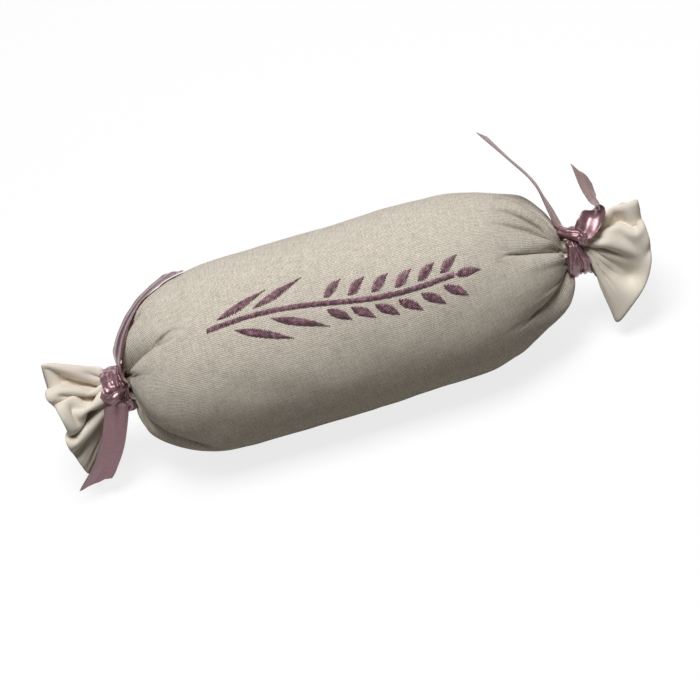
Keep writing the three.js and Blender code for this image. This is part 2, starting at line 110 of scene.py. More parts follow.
class SachetColours(bpy.types.PropertyGroup):
    """The colours of the finishes."""

    linen: colour_property("Linen", "Cloth of the roll", (0.78, 0.705, 0.60))
    ear_linen: colour_property("Ear linen", "Doubled cloth of the ears", (0.84, 0.765, 0.66))
    ribbon_face: colour_property("Ribbon face", "Glossy side of the ribbon", (0.29, 0.16, 0.18))
    ribbon_reverse: colour_property("Ribbon reverse", "Matte side of the ribbon", (0.6, 0.43, 0.425))
    embroidery: colour_property("Embroidery", "Satin-stitch thread", (0.20, 0.095, 0.125))
    muslin: colour_property("Muslin", "Inner bag", (0.78, 0.72, 0.63))
    buds: colour_property("Buds", "Dried lavender", (0.13, 0.11, 0.17))
    seam: colour_property("Seam", "Sewing thread", (0.70, 0.63, 0.52))
    felt: colour_property("Felt", "Backing of the embroidery", (0.88, 0.86, 0.82))
    floor: colour_property("Floor", "Pale floor under the sachet", (0.28, 0.27, 0.25))


class SachetCloth(bpy.types.PropertyGroup):
    """How the tube of cloth is drawn in at its ties."""

    around: count_property("Around", "Faces around the tube, each then halved", 108, least=36)
    half_rows: count_property("Half rows", "Rows of cloth on each half", 63, least=20, most=100)
    spare: number_property("Spare cloth", "Cloth over each end, against its plain length", 1.06)
    pressure: number_property("Pressure", "Push of the filling on the cloth", 55.0)
    bending: number_property("Bending", "Stiffness of the cloth against folds", 2.0)
    ear_bending: number_property("Ear bending", "Stiffness of the doubled cloth", 24.0)
    ear_hold: number_property("Ear hold", "How firmly the ears keep their swell", 0.14)
    hem_hold: number_property("Hem hold", "How firmly the hems keep their flutes", 0.9)
    draw_frames: count_property("Draw frames", "Steps that draw the ribbons tight", 24)
    rest_frames: count_property("Rest frames", "Steps that let the cloth settle", 12)


def sizes():
    return bpy.context.scene.sachet_sizes


def colours():
    return bpy.context.scene.sachet_colours


def cloth_settings():
    return bpy.context.scene.sachet_cloth


def roll_radius():
    return sizes().roll_diameter / 2


def tie(side):
    return side * sizes().tie_spacing / 2


def roll_end():
    """Distance from the middle of the roll to where its cloth meets a ribbon."""
    return (sizes().tie_spacing - sizes().ribbon_width) / 2 - sizes().clearance


def end_reach(side):
    return sizes().left_end if side == LEFT else sizes().right_end


# Radius at which the rounded ends of the roll reach the ribbons
END_RADIUS = 5.2 * MM


def spoke(degrees):
    """Outward direction at an angle about the roll, from the top towards the back."""
    angle = math.radians(degrees)
    return Vector((0, math.sin(angle), math.cos(angle)))


def around(degrees):
    """Direction around the roll at an angle, from the top towards the back."""
    angle = math.radians(degrees)
    return Vector((0, math.cos(angle), -math.sin(angle)))


def on_axis(x, degrees, radius):
    return Vector((x, 0, sizes().axis_height)) + spoke(degrees) * radius


def smooth_step(low, high, value):
    share = np.clip((value - low) / (high - low), 0, 1)
    return share * share * (3 - 2 * share)


def wrapped(angles):
    """Angles brought between half a turn back and half a turn on."""
    return (angles + math.pi) % (2 * math.pi) - math.pi


def curve_through(points, count):
    """Places and headings of a smooth curve through points, spaced by their order."""
    points = np.asarray(points, float)
    padded = np.concatenate([[2 * points[0] - points[1]], points, [2 * points[-1] - points[-2]]])
    gaps = np.maximum(np.linalg.norm(np.diff(padded, axis=0), axis=1) ** 0.5, 1e-9)
    places = np.zeros((count, points.shape[1]))
    for row, at in enumerate(np.linspace(0, len(points) - 1, count)):
        index = min(int(at), len(points) - 2)
        share = at - index
        p0, p1, p2, p3 = padded[index:index + 4]
        d0, d1, d2 = gaps[index:index + 3]
        m1 = ((p1 - p0) / d0 - (p2 - p0) / (d0 + d1) + (p2 - p1) / d1) * d1
        m2 = ((p2 - p1) / d1 - (p3 - p1) / (d1 + d2) + (p3 - p2) / d2) * d1
        s2, s3 = share * share, share ** 3
        places[row] = ((2 * s3 - 3 * s2 + 1) * p1 + (s3 - 2 * s2 + share) * m1
                       + (3 * s2 - 2 * s3) * p2 + (s3 - s2) * m2)
    headings = np.gradient(places, axis=0)
    return places, headings / np.maximum(np.linalg.norm(headings, axis=1), 1e-9)[:, None]


# Pieces: adding, shaping and handing over to the frame

def deselect():
    if bpy.context.object and bpy.context.object.mode != "OBJECT":
        bpy.ops.object.mode_set(mode="OBJECT")
    bpy.ops.object.select_all(action="DESELECT")


def select_only(piece):
    deselect()
    piece.select_set(True)
    bpy.context.view_layer.objects.active = piece


def places_of(piece):
    """Vertex places of a mesh as an array of rows."""
    flat = np.zeros(len(piece.data.vertices) * 3)
    piece.data.vertices.foreach_get("co", flat)
    return flat.reshape(-1, 3)


def set_places(piece, places):
    piece.data.vertices.foreach_set("co", np.asarray(places, np.float32).reshape(-1))
    piece.data.update()


def apply_modifier(piece, kind, **settings):
    """Adds one modifier with its settings and applies it."""
    select_only(piece)
    modifier = piece.modifiers.new(kind.title(), kind)
    for name, value in settings.items():
        setattr(modifier, name, value)
    bpy.ops.object.modifier_apply(modifier=modifier.name)


def subdivide(piece, levels=1):
    apply_modifier(piece, "SUBSURF", levels=levels, render_levels=levels)


def shade_smooth(piece):
    select_only(piece)
    bpy.ops.object.shade_smooth()


def recalculate_outside(piece):
    select_only(piece)
    bpy.ops.object.mode_set(mode="EDIT")
    bpy.ops.mesh.select_all(action="SELECT")
    bpy.ops.mesh.normals_make_consistent(inside=False)
    bpy.ops.object.mode_set(mode="OBJECT")


def start_choice(piece, kind):
    """Leaves a piece in object mode with none of its edges or faces selected."""
    select_only(piece)
    bpy.ops.object.mode_set(mode="EDIT")
    bpy.ops.mesh.select_mode(type=kind)
    bpy.ops.mesh.select_all(action="DESELECT")
    bpy.ops.object.mode_set(mode="OBJECT")


def cut_along(piece, axis, least, cuts):
    """Subdivides the edges whose ends are further apart along an axis than the least distance."""
    start_choice(piece, "EDGE")
    places = places_of(piece)
    for edge in piece.data.edges:
        first, second = edge.vertices
        edge.select = bool(abs(places[first][axis] - places[second][axis]) > least)
    bpy.ops.object.mode_set(mode="EDIT")
    bpy.ops.mesh.subdivide(number_cuts=cuts)
    bpy.ops.object.mode_set(mode="OBJECT")


def choose_faces(piece, chosen):
    """Leaves a piece in edit mode with those faces selected whose centres are chosen."""
    start_choice(piece, "FACE")
    for face in piece.data.polygons:
        face.select = bool(chosen(face.center))
    bpy.ops.object.mode_set(mode="EDIT")


def set_uv(piece, uv):
    """Gives each vertex of a piece its place on the UV map."""
    corners = np.zeros(len(piece.data.loops), int)
    piece.data.loops.foreach_get("vertex_index", corners)
    piece.data.uv_layers.active.data.foreach_set("uv", uv[corners].astype(np.float32).reshape(-1))


def named(piece, name):
    piece.name = name
    piece.data.name = name
    return piece


def placed(name, data):
    """A new object in the scene, of a mesh, a lamp or a camera."""
    thing = bpy.data.objects.new(name, data)
    bpy.context.scene.collection.objects.link(thing)
    return thing


def copy_of(piece, name):
    twin = piece.copy()
    twin.data = piece.data.copy()
    bpy.context.scene.collection.objects.link(twin)
    return named(twin, name)


def join(pieces, name):
    """One piece of several, with a name."""
    deselect()
    for piece in pieces:
        piece.select_set(True)
    bpy.context.view_layer.objects.active = pieces[0]
    if len(pieces) > 1:
        bpy.ops.object.join()
    return named(bpy.context.view_layer.objects.active, name)


def dress(piece, *materials):
    piece.data.materials.clear()
    for material in materials:
        piece.data.materials.append(material)


def hand_over(piece, node, body):
    """The piece stands for a node, whose part it hides, and rides on a body."""
    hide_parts(node)
    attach(piece, body)


# Materials

class Finish:
    """A procedural material under construction, with short ways to add and join its nodes."""

    def __init__(self, name, roughness=0.5, specular=0.5):
        self.material = bpy.data.materials.new(name)
        self.material.use_nodes = True
        self.tree = self.material.node_tree
        self.shader = self.tree.nodes["Principled BSDF"]
        self.set(self.shader, {"Roughness": roughness, "Specular IOR Level": specular})

    def set(self, node, values):
        for name, value in values.items():
            node.inputs[name].default_value = value

    def add(self, kind, values=None, **settings):
        node = self.tree.nodes.new(kind)
        for name, value in settings.items():
            setattr(node, name, value)
        self.set(node, values or {})
        return node

    def link(self, out, into):
        self.tree.links.new(out, into)

    def math(self, operation, first, second=None):
        node = self.add("ShaderNodeMath", operation=operation)
        for socket, value in zip(node.inputs, (first, second)):
            if isinstance(value, (int, float)):
                socket.default_value = value
            elif value is not None:
                self.link(value, socket)
        return node.outputs[0]

    def uv(self, scale=(1, 1, 1)):
        """The piece's own UV map, scaled."""
        source = self.add("ShaderNodeTexCoord").outputs["UV"]
        return self.mapped(source, scale)

    def place(self, scale=(1, 1, 1)):
        """The piece's own places in metres, scaled."""
        source = self.add("ShaderNodeTexCoord").outputs["Object"]
        return self.mapped(source, scale)

    def mapped(self, source, scale):
        mapping = self.add("ShaderNodeMapping", {"Scale": scale})
        self.link(source, mapping.inputs["Vector"])
        return mapping.outputs["Vector"]

    def noise(self, vector, scale, detail=2.0, roughness=0.5):
        node = self.add("ShaderNodeTexNoise", {"Scale": scale, "Detail": detail, "Roughness": roughness})
        self.link(vector, node.inputs["Vector"])
        return node.outputs["Fac"]

    def ramp(self, value, stops):
        node = self.add("ShaderNodeValToRGB")
        steps = node.color_ramp.elements
        while len(steps) < len(stops):
            steps.new(0.5)
        for step, (place, colour) in zip(steps, stops):
            step.position = place
            step.color = (*colour, 1)
        self.link(value, node.inputs["Fac"])
        return node.outputs["Color"]

    def mix(self, share, first, second, blend="MIX"):
        """Mixes two colours, each a socket or three numbers."""
        node = self.add("ShaderNodeMix", data_type="RGBA", blend_type=blend)
        for socket, value in zip((node.inputs[0], node.inputs[6], node.inputs[7]), (share, first, second)):
            if isinstance(value, (int, float)):
                socket.default_value = value
            elif isinstance(value, tuple):
                socket.default_value = (*value, 1)
            else:
                self.link(value, socket)
        return node.outputs[2]

    def colour(self, source):
        self.link(source, self.shader.inputs["Base Color"])
        return self

    def bump(self, height, strength, distance):
        node = self.add("ShaderNodeBump", {"Strength": strength, "Distance": distance})
        self.link(height, node.inputs["Height"])
        self.link(node.outputs["Normal"], self.shader.inputs["Normal"])
        return self


def shade(colour, factor):
    return tuple(min(1.0, part * factor) for part in colour)


# Spacing of the linen's threads around and along the roll, in millimetres
THREAD_PITCH = (0.52, 0.7)
# Length of the thick places in a thread, as a rate per millimetre
SLUB_RATE = 0.16


def linen_finish(name, colour, uv_scale, contrast):
    """Plain-weave linen with dark pinholes between its threads and a painted highlight on their raised
    crossings. The UVs are scaled to millimetres.
    """
    finish = Finish(name, roughness=0.92, specular=0.15)
    finish.set(finish.shader, {"Sheen Weight": 0.1, "Sheen Roughness": 0.6})
    cloth = finish.uv(uv_scale)
    drift = finish.math("MULTIPLY", finish.noise(cloth, 0.12, detail=2.0), 0.8)
    parts = finish.add("ShaderNodeSeparateXYZ")
    finish.link(cloth, parts.inputs[0])
    threads = []
    for axis in (0, 1):
        shifted = finish.math("ADD", parts.outputs[axis], drift)
        wave = finish.math("SINE", finish.math("MULTIPLY", shifted, math.pi / THREAD_PITCH[axis]))
        threads.append(finish.math("ABSOLUTE", wave))
    over = finish.math("MULTIPLY", threads[0], threads[1])
    between = finish.math("MULTIPLY", finish.math("SUBTRACT", 1.0, threads[0]),
                          finish.math("SUBTRACT", 1.0, threads[1]))
    uneven = finish.noise(cloth, 0.9, detail=2.0)
    pinholes = finish.math("MULTIPLY", finish.math("POWER", between, 0.6), uneven)
    warp = finish.noise(finish.mapped(cloth, (1.0 / THREAD_PITCH[0], SLUB_RATE, 1)), 1.0, detail=1.0)
    weft = finish.noise(finish.mapped(cloth, (SLUB_RATE, 1.0 / THREAD_PITCH[1], 1)), 1.0, detail=1.0)
    grain = finish.noise(cloth, 1.6, detail=2.0, roughness=0.7)
    slubs = finish.math("MULTIPLY", finish.math("ADD", finish.math("ADD", warp, weft), grain), 1 / 3)
    tone = finish.ramp(slubs, [
        (0.36, shade(colour, 1 - 0.3 * contrast)), (0.5, colour), (0.64, shade(colour, 1 + 0.2 * contrast))])
    tone = finish.mix(finish.math("MULTIPLY", pinholes, 2.4 * contrast), tone, shade(colour, 0.22))
    # Painted highlight: the raised crossings of the threads are lightened
    painted_crest_highlight = finish.math("MULTIPLY", finish.math("POWER", over, 2.0), 0.35 * contrast)
    tone = finish.mix(painted_crest_highlight, tone, shade(colour, 1.22))
    finish.colour(tone)
    height = finish.math("ADD", over, slubs)
    return finish.bump(height, 0.5 * contrast, 0.16 * MM).material


SELVEDGE_PITCH = 0.75 * MM
SELVEDGE_WIDTH = 0.45 * MM
# What sets the two sides of the ribbon apart: shader values, shades of the selvedge and its dots, and weave
SATIN_SIDES = {
    "face": {
        "shader": {"Roughness": 0.38, "Specular IOR Level": 0.35, "Sheen Weight": 0.1, "Metallic": 0.55,
                   "Coat Weight": 0.6, "Coat Roughness": 0.22},
        "selvedge": 0.42, "dots": 1.7, "bump": 0.35},
    "reverse": {
        "shader": {"Roughness": 0.7, "Specular IOR Level": 0.2, "Sheen Weight": 0.5},
        "selvedge": 0.8, "dots": 1.1, "bump": 0.15},
}


def satin_finish(side, colour):
    """Satin ribbon with fine lengthwise threads and dotted selvedges. UVs are metres across and along."""
    look = SATIN_SIDES[side]
    finish = Finish("satin " + side)
    finish.set(finish.shader, {**look["shader"], "Sheen Roughness": 0.35, "Sheen Tint": (1, 0.84, 0.84, 1)})
    strip = finish.uv()
    parts = finish.add("ShaderNodeSeparateXYZ")
    finish.link(strip, parts.inputs[0])
    threads = finish.noise(finish.mapped(strip, (5200, 160, 1)), 1.0, detail=1.0)
    weft = finish.noise(finish.mapped(strip, (400, 4200, 1)), 1.0, detail=1.0)
    grain = finish.math("MULTIPLY", finish.math("ADD", threads, weft), 0.5)
    tone = finish.ramp(grain, [(0.3, shade(colour, 0.78)), (0.5, colour), (0.7, shade(colour, 1.2))])
    reach = finish.math("ABSOLUTE", parts.outputs[0])
    edge = finish.math("GREATER_THAN", reach, sizes().ribbon_width / 2 - SELVEDGE_WIDTH)
    beat = finish.math("SINE", finish.math("MULTIPLY", parts.outputs[1], 2 * math.pi / SELVEDGE_PITCH))
    dots = finish.math("MULTIPLY", edge, finish.math("GREATER_THAN", beat, 0.1))
    tone = finish.mix(finish.math("MULTIPLY", edge, 0.55), tone, shade(colour, look["selvedge"]))
    tone = finish.mix(finish.math("MULTIPLY", dots, 0.6), tone, shade(colour, look["dots"]))
    finish.colour(tone)
    height = finish.math("ADD", grain, finish.math("MULTIPLY", dots, 1.2))
    return finish.bump(height, look["bump"], 0.08 * MM).material


def thread_finish(name, colour, roughness, sheen):
    """Twisted thread: lengthwise strands from the piece's own UV, with painted highlights and painted shade
    at the light and dark ends of their tone.
    """
    finish = Finish(name, roughness=roughness, specular=0.4)
    finish.set(finish.shader, {"Sheen Weight": sheen, "Sheen Roughness": 0.4})
    twist = finish.noise(finish.uv((9, 3, 1)), 2.0, detail=2.0)
    lots = finish.noise(finish.place(), 900.0, detail=1.0)
    share = finish.math("MULTIPLY", finish.math("ADD", twist, lots), 0.5)
    # The darkest and lightest stops are painted shade and painted highlight along the threads, spread by the
    # strand noise
    tone = finish.ramp(share, [(0.34, shade(colour, 0.3)), (0.5, colour), (0.64, shade(colour, 2.6))])
    return finish.colour(tone).bump(twist, 0.4, 0.06 * MM).material


def fibre_finish(name, colour, scale, contrast):
    """Muslin, felt or dried buds: a fibrous mottle in the piece's own places."""
    finish = Finish(name, roughness=0.95, specular=0.15)
    fibres = finish.noise(finish.place(), scale, detail=5.0, roughness=0.65)
    tone = finish.ramp(fibres, [
        (0.3, shade(colour, 1 - contrast)), (0.5, colour), (0.72, shade(colour, 1 + contrast))])
    return finish.colour(tone).bump(fibres, 0.4, 0.15 * MM).material


# Cloth: one tube of linen, drawn in by the ribbons around a pushing filling

# The cloth is simulated enlarged, at a size that the solver handles well
SIM_SCALE = 10.0
SIM_SETTINGS = {
    "quality": 5, "mass": 0.05, "tension_stiffness": 40, "compression_stiffness": 10, "shear_stiffness": 4,
    "tension_damping": 5, "compression_damping": 5, "shear_damping": 5, "bending_damping": 0.5,
    "air_damping": 2, "pin_stiffness": 20, "use_pressure": True,
}
# Cloth under each ribbon past the ribbon's own width
NECK_SPARE = 0.6 * MM
# A row of cloth this near the neck counts as part of it
NECK_SLACK = 0.1 * MM
# Share of the last row of an ear that counts as its hem
HEM_SHARE = 0.6
# Steps along the curve of a rounded end
END_STEPS = 200

# Where the cloth folds in under each tie: angle about the roll in degrees, and share of the full depth
ROLL_FOLDS = {
    LEFT: [(-24, 1.0), (-112, 1.0), (-150, 0.9), (175, 0.8), (135, 0.9), (92, 0.9), (48, 0.8), (8, 0.35)],
    RIGHT: [(-20, 0.8), (-39, 1.0), (-98, 1.0), (-138, 0.8), (-170, 0.9), (140, 0.9), (92, 0.9), (56, 0.7)],
}
# How far the cloth is twisted about the roll at each tie
NECK_TWIST = {LEFT: math.radians(34), RIGHT: math.radians(-42)}
# Hem of each ear, as stops around it from the top over the front. A stop is out of the tie's middle, up and
# to the front in millimetres, then the depth of the fold that runs to it and its share of the cloth
EAR_HEMS = {
    LEFT: [
        (18.5, 16.0, -0.5, 0, 1), (19.0, 8.6, 1.6, 1, 1), (19.6, 10.0, 4.4, 0, 1),
        (19.6, 9.4, 6.8, 0, 1), (18.4, 6.2, 7.2, 0.9, 1), (17.6, 7.0, 10.0, 0, 1),
        (17.0, 4.6, 12.0, 0, 1), (17.0, 0.4, 11.8, 0, 1), (18.0, -1.8, 9.8, 0.9, 1),
        (18.3, -2.0, 13.0, 0, 1), (18.2, -5.0, 13.6, 0, 1), (18.3, -8.4, 11.6, 0.8, 1),
        (17.6, -11.6, 13.2, 0, 1), (17.4, -18.4, 11.0, 0, 1), (18.8, -6.0, 0.6, 1, 1),
        (16.6, -18.0, -8.0, 0, 1), (19.4, -3.0, -3.2, 1, 1), (17.6, -4.0, -15.0, 0, 1),
        (19.8, 2.0, -3.4, 1, 1), (16.5, 2.0, -11.5, 0, 1), (19.8, 5.0, -2.5, 1, 1),
    ],
    RIGHT: [
        (20.2, 10.2, -0.4, 0, 1), (19.8, 4.4, 0.8, 1, 1), (20.0, 5.8, 3.6, 0, 1),
        (20.2, 1.2, 6.8, 0, 1), (19.9, -1.4, 6.0, 0.7, 0.7), (20.0, -2.8, 8.8, 0, 0.45),
        (18.2, -6.4, 10.6, 0, 0.45), (15.6, -10.6, 11.8, 0, 0.45), (11.4, -14.8, 12.2, 0, 0.45),
        (4.8, -23.0, 11.4, 0, 0.7), (13.0, -8.4, 1.4, 1, 1), (8.0, -20.4, -4.0, 0, 1),
        (14.6, -6.4, -1.6, 1, 1), (12.0, -14.4, -13.4, 0, 1), (17.6, -2.2, -2.6, 1, 1),
        (17.0, -5.0, -14.0, 0, 1), (19.6, 1.6, -2.2, 1, 1), (17.5, 1.0, -10.5, 0, 1),
        (20.0, 4.4, -2.2, 1, 1),
    ],
}
# Dents pressed into each ear from the front: place by the tie as above, depth and reach, in millimetres
EAR_DENTS = {LEFT: [], RIGHT: [((8.5, -4.4, 7.6), 1.8, 3.0), ((12.4, -6.4, 9.6), 4.2, 3.6)]}
DENT_WAY = Vector((0.0, 0.75, -0.66))
# How fully each ear swells out next to its tie, where 1 is a straight cone
EAR_SWELL = {LEFT: 1.3, RIGHT: 1.7}


def valley(angles, folds):
    """Share of the fold depth at each angle: 1 in the folds and 0 on the ridges between two of them."""
    ordered = sorted((math.radians(degrees), depth) for degrees, depth in folds)
    stops = np.array([stop for stop, _ in ordered])
    depths = np.array([depth for _, depth in ordered])
    stops = np.concatenate([[stops[-1] - 2 * math.pi], stops, [stops[0] + 2 * math.pi]])
    depths = np.concatenate([[depths[-1]], depths, [depths[0]]])
    index = np.clip(np.searchsorted(stops, angles, side="right") - 1, 0, len(stops) - 2)
    share = (angles - stops[index]) / (stops[index + 1] - stops[index])
    depth = depths[index] * (1 - share) + depths[index + 1] * share
    return depth * (1 - np.sin(math.pi * share))


def neck_length():
    return sizes().ribbon_width + NECK_SPARE


def cloth_to_neck(side):
    """Length of cloth from the middle of the roll to the tie."""
    steps = np.linspace(0, math.pi / 2, END_STEPS)
    along = end_reach(side) * np.sin(steps)
    radius = (roll_radius() - sizes().neck_radius) * np.cos(steps)
    arc = np.hypot(np.diff(along), np.diff(radius)).sum()
    return roll_end() - end_reach(side) + arc * cloth_settings().spare


def cloth_length(side):
    return cloth_to_neck(side) + neck_length() + sizes().ear_length


def tube_of_cloth():
    """The flat tube, at the scale of the simulation, with its axis along X."""
    cloth = cloth_settings()
    total = cloth_length(LEFT) + cloth_length(RIGHT)
    middle = (cloth_length(RIGHT) - cloth_length(LEFT)) / 2
    deselect()
    bpy.ops.mesh.primitive_cylinder_add(
        vertices=cloth.around, radius=roll_radius() * SIM_SCALE, depth=total * SIM_SCALE,
        end_fill_type="NOTHING", location=(middle * SIM_SCALE, 0, 0), rotation=(0, math.pi / 2, 0))
    tube = bpy.context.object
    bpy.ops.object.transform_apply(location=True, rotation=True, scale=True)
    bpy.ops.object.mode_set(mode="EDIT")
    bpy.ops.mesh.select_all(action="SELECT")
    bpy.ops.mesh.subdivide(number_cuts=1)
    bpy.ops.object.mode_set(mode="OBJECT")
    cut_along(tube, 0, MM, cloth.half_rows - 1)
    return tube


class Hem:
    """The closed hem of an ear as a smooth curve, by the angle of the cloth that reaches it."""

    steps = 40

    def __init__(self, side):
        steps = self.steps
        stops = np.array(EAR_HEMS[side], float)
        count = len(stops)
        ring = np.concatenate([stops[-2:], stops, stops[:4]])[:, :3] * MM
        curve, _ = curve_through(ring, (count + 5) * steps + 1)
        curve = curve[2 * steps:(2 + count) * steps + 1]
        cloth = np.linalg.norm(np.diff(curve, axis=0), axis=1) * np.repeat(stops[:, 4], steps)
        run = np.concatenate([[0], np.cumsum(cloth)])
        turn = -2 * math.pi * run / run[-1]
        self.turn, self.curve = turn[::-1], curve[::-1]
        angles = wrapped(turn[np.arange(count) * steps])
        self.folds = [(math.degrees(angle), stop[3]) for angle, stop in zip(angles, stops) if stop[3]]

    def at(self, angles):
        """Out, up and front of the tie's middle at each angle of the cloth."""
        turn = -((-angles) % (2 * math.pi))
        return np.stack([np.interp(turn, self.turn, self.curve[:, axis]) for axis in range(3)], 1)


def drawn_in(flat):
    """Places of the tube with both ties tight, and how firmly each point is held there."""
    places = flat.copy()
    hold = np.zeros(len(flat))
    angles = np.arctan2(flat[:, 1], flat[:, 2])
    row = (cloth_length(LEFT) + cloth_length(RIGHT)) / (2 * cloth_settings().half_rows)
    for side in (LEFT, RIGHT):
        hem = Hem(side)
        past = side * flat[:, 0] - cloth_to_neck(side)
        share = np.clip(past / neck_length(), 0, 1)
        folds = valley(angles, ROLL_FOLDS[side]) * (1 - share) + valley(angles, hem.folds) * share
        star = sizes().neck_radius - (sizes().neck_radius - sizes().neck_core) * folds
        neck = (past >= -NECK_SLACK) & (past <= neck_length() + NECK_SLACK)
        twisted = angles + NECK_TWIST[side] * (1 - share)
        held = np.stack([side * (roll_end() + past), np.sin(twisted) * star, np.cos(twisted) * star], 1)
        places[neck] = held[neck]
        hold[neck] = 1.0
        free = np.clip((past - neck_length()) / sizes().ear_length, 0, 1)
        ear = past > neck_length() + NECK_SLACK
        out, up, front = hem.at(angles).T
        ends = np.stack([tie(side) + side * out, -front, up], 1)
        roots = np.stack([np.full(len(flat), side * (roll_end() + neck_length())),
                          np.sin(angles) * star, np.cos(angles) * star], 1)
        swell = 1 - (1 - free) ** EAR_SWELL[side]
        ways = np.stack([free, swell, swell], 1)
        places[ear] = (roots + (ends - roots) * ways)[ear]
        hold[ear] = cloth_settings().ear_hold
        hold[past > neck_length() + sizes().ear_length - HEM_SHARE * row] = cloth_settings().hem_hold
    return places, hold


def group_of(tube, name, chosen):
    """A group of the chosen points of the tube."""
    group = tube.vertex_groups.new(name=name)
    group.add(np.where(chosen)[0].tolist(), 1.0, "REPLACE")
    return group


def simulate(tube, flat):
    """Draws the ribbons tight on the tube of cloth and leaves the settled mesh."""
    cloth = cloth_settings()
    places, hold = drawn_in(flat)
    select_only(tube)
    bpy.ops.object.shape_key_add(from_mix=False)
    bpy.ops.object.shape_key_add(from_mix=False)
    drawn = tube.data.shape_keys.key_blocks[-1]
    drawn.data.foreach_set("co", (places * SIM_SCALE).astype(np.float32).reshape(-1))
    for value, step in ((0.0, 1), (1.0, cloth.draw_frames)):
        drawn.value = value
        drawn.keyframe_insert("value", frame=step)
    ties = group_of(tube, "held by ties and hems", hold == 1)
    for firmness in sorted(set(hold[(hold > 0) & (hold < 1)])):
        ties.add(np.where(hold == firmness)[0].tolist(), float(firmness), "REPLACE")
    inside = (flat[:, 0] < cloth_to_neck(RIGHT)) & (flat[:, 0] > -cloth_to_neck(LEFT))
    filled = group_of(tube, "pushed by the filling", inside)
    doubled = group_of(tube, "doubled cloth of the ears", ~inside)
    modifier = tube.modifiers.new("Cloth", "CLOTH")
    settings = modifier.settings
    for name, value in SIM_SETTINGS.items():
        setattr(settings, name, value)
    settings.bending_stiffness = cloth.bending
    settings.vertex_group_bending = doubled.name
    settings.bending_stiffness_max = cloth.ear_bending
    settings.vertex_group_mass = ties.name
    settings.uniform_pressure_force = cloth.pressure
    settings.vertex_group_pressure = filled.name
    settings.effector_weights.gravity = 0
    modifier.collision_settings.use_collision = False
    last = cloth.draw_frames + cloth.rest_frames
    modifier.point_cache.frame_start = 1
    modifier.point_cache.frame_end = last
    for step in range(1, last + 1):
        bpy.context.scene.frame_set(step)
    select_only(tube)
    bpy.ops.object.convert(target="MESH")
    bpy.context.scene.frame_set(1)
    tube.vertex_groups.clear()


# Lumps of the buds under the cloth: rate and height
LUMPS = [(70.0, 0.45 * MM), (160.0, 0.16 * MM)]
# Distance from the neck over which the cloth comes to fit the filling
FIT_FADE = 4 * MM
# Stretches of each end where the cloth lies smooth: middle angle and half width in degrees
CALM = {LEFT: (-68, 40), RIGHT: (-68, 20)}
# Reach around a row over which its cloth is evened out
CALM_SPAN = math.radians(24)
# Distances from each tie over which the folds run out
FOLD_REACH = {LEFT: (22 * MM, 42 * MM), RIGHT: (17 * MM, 34 * MM)}
# Percentile of a row's radii that meets the filling
FIT_SHARE = {LEFT: 64, RIGHT: 93}
# How far the filling sags low at the front of each end, and where
SAG = {LEFT: 1.3 * MM, RIGHT: 0.0}
SAG_ANGLE = math.radians(-140)
SAG_LEAD = 8 * MM
# Rows nearer together than this are one
ROW_GRAIN = 0.1 * MM
# Least radius by which lumps are shared out
LEAST_RADIUS = 4 * MM


def wanted_profile(side, cloth):
    """Where a row of cloth lies on the filled roll: its x and radius, by its distance along the cloth."""
    start = roll_end() - end_reach(side)
    if cloth <= start:
        return side * cloth, roll_radius()
    turns = np.linspace(0, math.pi / 2, END_STEPS)
    xs = start + end_reach(side) * np.sin(turns)
    radii = END_RADIUS + (roll_radius() - END_RADIUS) * np.cos(turns)
    arc = np.concatenate([[0], np.cumsum(np.hypot(np.diff(xs), np.diff(radii)))])
    at = (cloth - start) / (cloth_to_neck(side) - start) * arc[-1]
    return side * np.interp(at, arc, xs), float(np.interp(at, arc, radii))


def calm_share(angles, stretch, least):
    """How far each place of a row is evened out: wholly in a stretch of angles, else by the least share."""
    middle, half = (math.radians(value) for value in stretch)
    off = np.abs(wrapped(angles - middle))
    return np.maximum(1 - smooth_step(half * 0.5, half, off), least)


def evened(angles, values):
    """Values of a row of cloth, each averaged with those near it around the row."""
    apart = np.abs(wrapped(angles[:, None] - angles[None, :]))
    weights = np.exp(-(apart / CALM_SPAN) ** 2)
    return weights @ values / weights.sum(axis=1)


def fill_out(places, flat):
    """Fits each settled row to the rounded filling, with the lumps of the buds under the cloth."""
    rows = np.rint(flat[:, 0] / ROW_GRAIN).astype(int)
    for row in np.unique(rows):
        ring = rows == row
        along = float(flat[ring, 0].mean())
        side = LEFT if along < 0 else RIGHT
        left = cloth_to_neck(side) - abs(along)
        if left <= 0:
            continue
        fade = float(smooth_step(0, FIT_FADE, left))
        radius = np.hypot(places[ring, 1], places[ring, 2])
        wanted_x, wanted_radius = wanted_profile(side, abs(along))
        places[ring, 0] += (wanted_x - places[ring, 0].mean()) * fade
        factor = 1 + (wanted_radius / np.percentile(radius, FIT_SHARE[side]) - 1) * fade
        sagging = np.cos(np.arctan2(places[ring, 1], places[ring, 2]) - SAG_ANGLE)
        into_end = np.clip((end_reach(side) + SAG_LEAD - left) / end_reach(side), 0, 1)
        bumps = SAG[side] * math.sin(math.pi * into_end) * np.maximum(sagging, 0) ** 2
        for rate, height in LUMPS:
            bumps += [noise.noise(Vector(place) * rate) * height for place in places[ring]]
        run_out = float(smooth_step(*FOLD_REACH[side], left))
        sewn = np.arctan2(flat[ring, 1], flat[ring, 2])
        angles = np.arctan2(places[ring, 1], places[ring, 2])
        turned = wrapped(angles - sewn)
        calm = calm_share(sewn, CALM[side], run_out) * fade
        angles += (evened(sewn, turned) - turned) * calm
        radius += (evened(sewn, radius) - radius) * calm
        along = places[ring, 0]
        places[ring, 0] = along + (evened(sewn, along) - along) * calm
        radius *= factor + bumps * fade / np.maximum(radius, LEAST_RADIUS)
        places[ring, 1] = np.sin(angles) * radius
        places[ring, 2] = np.cos(angles) * radius
    return places


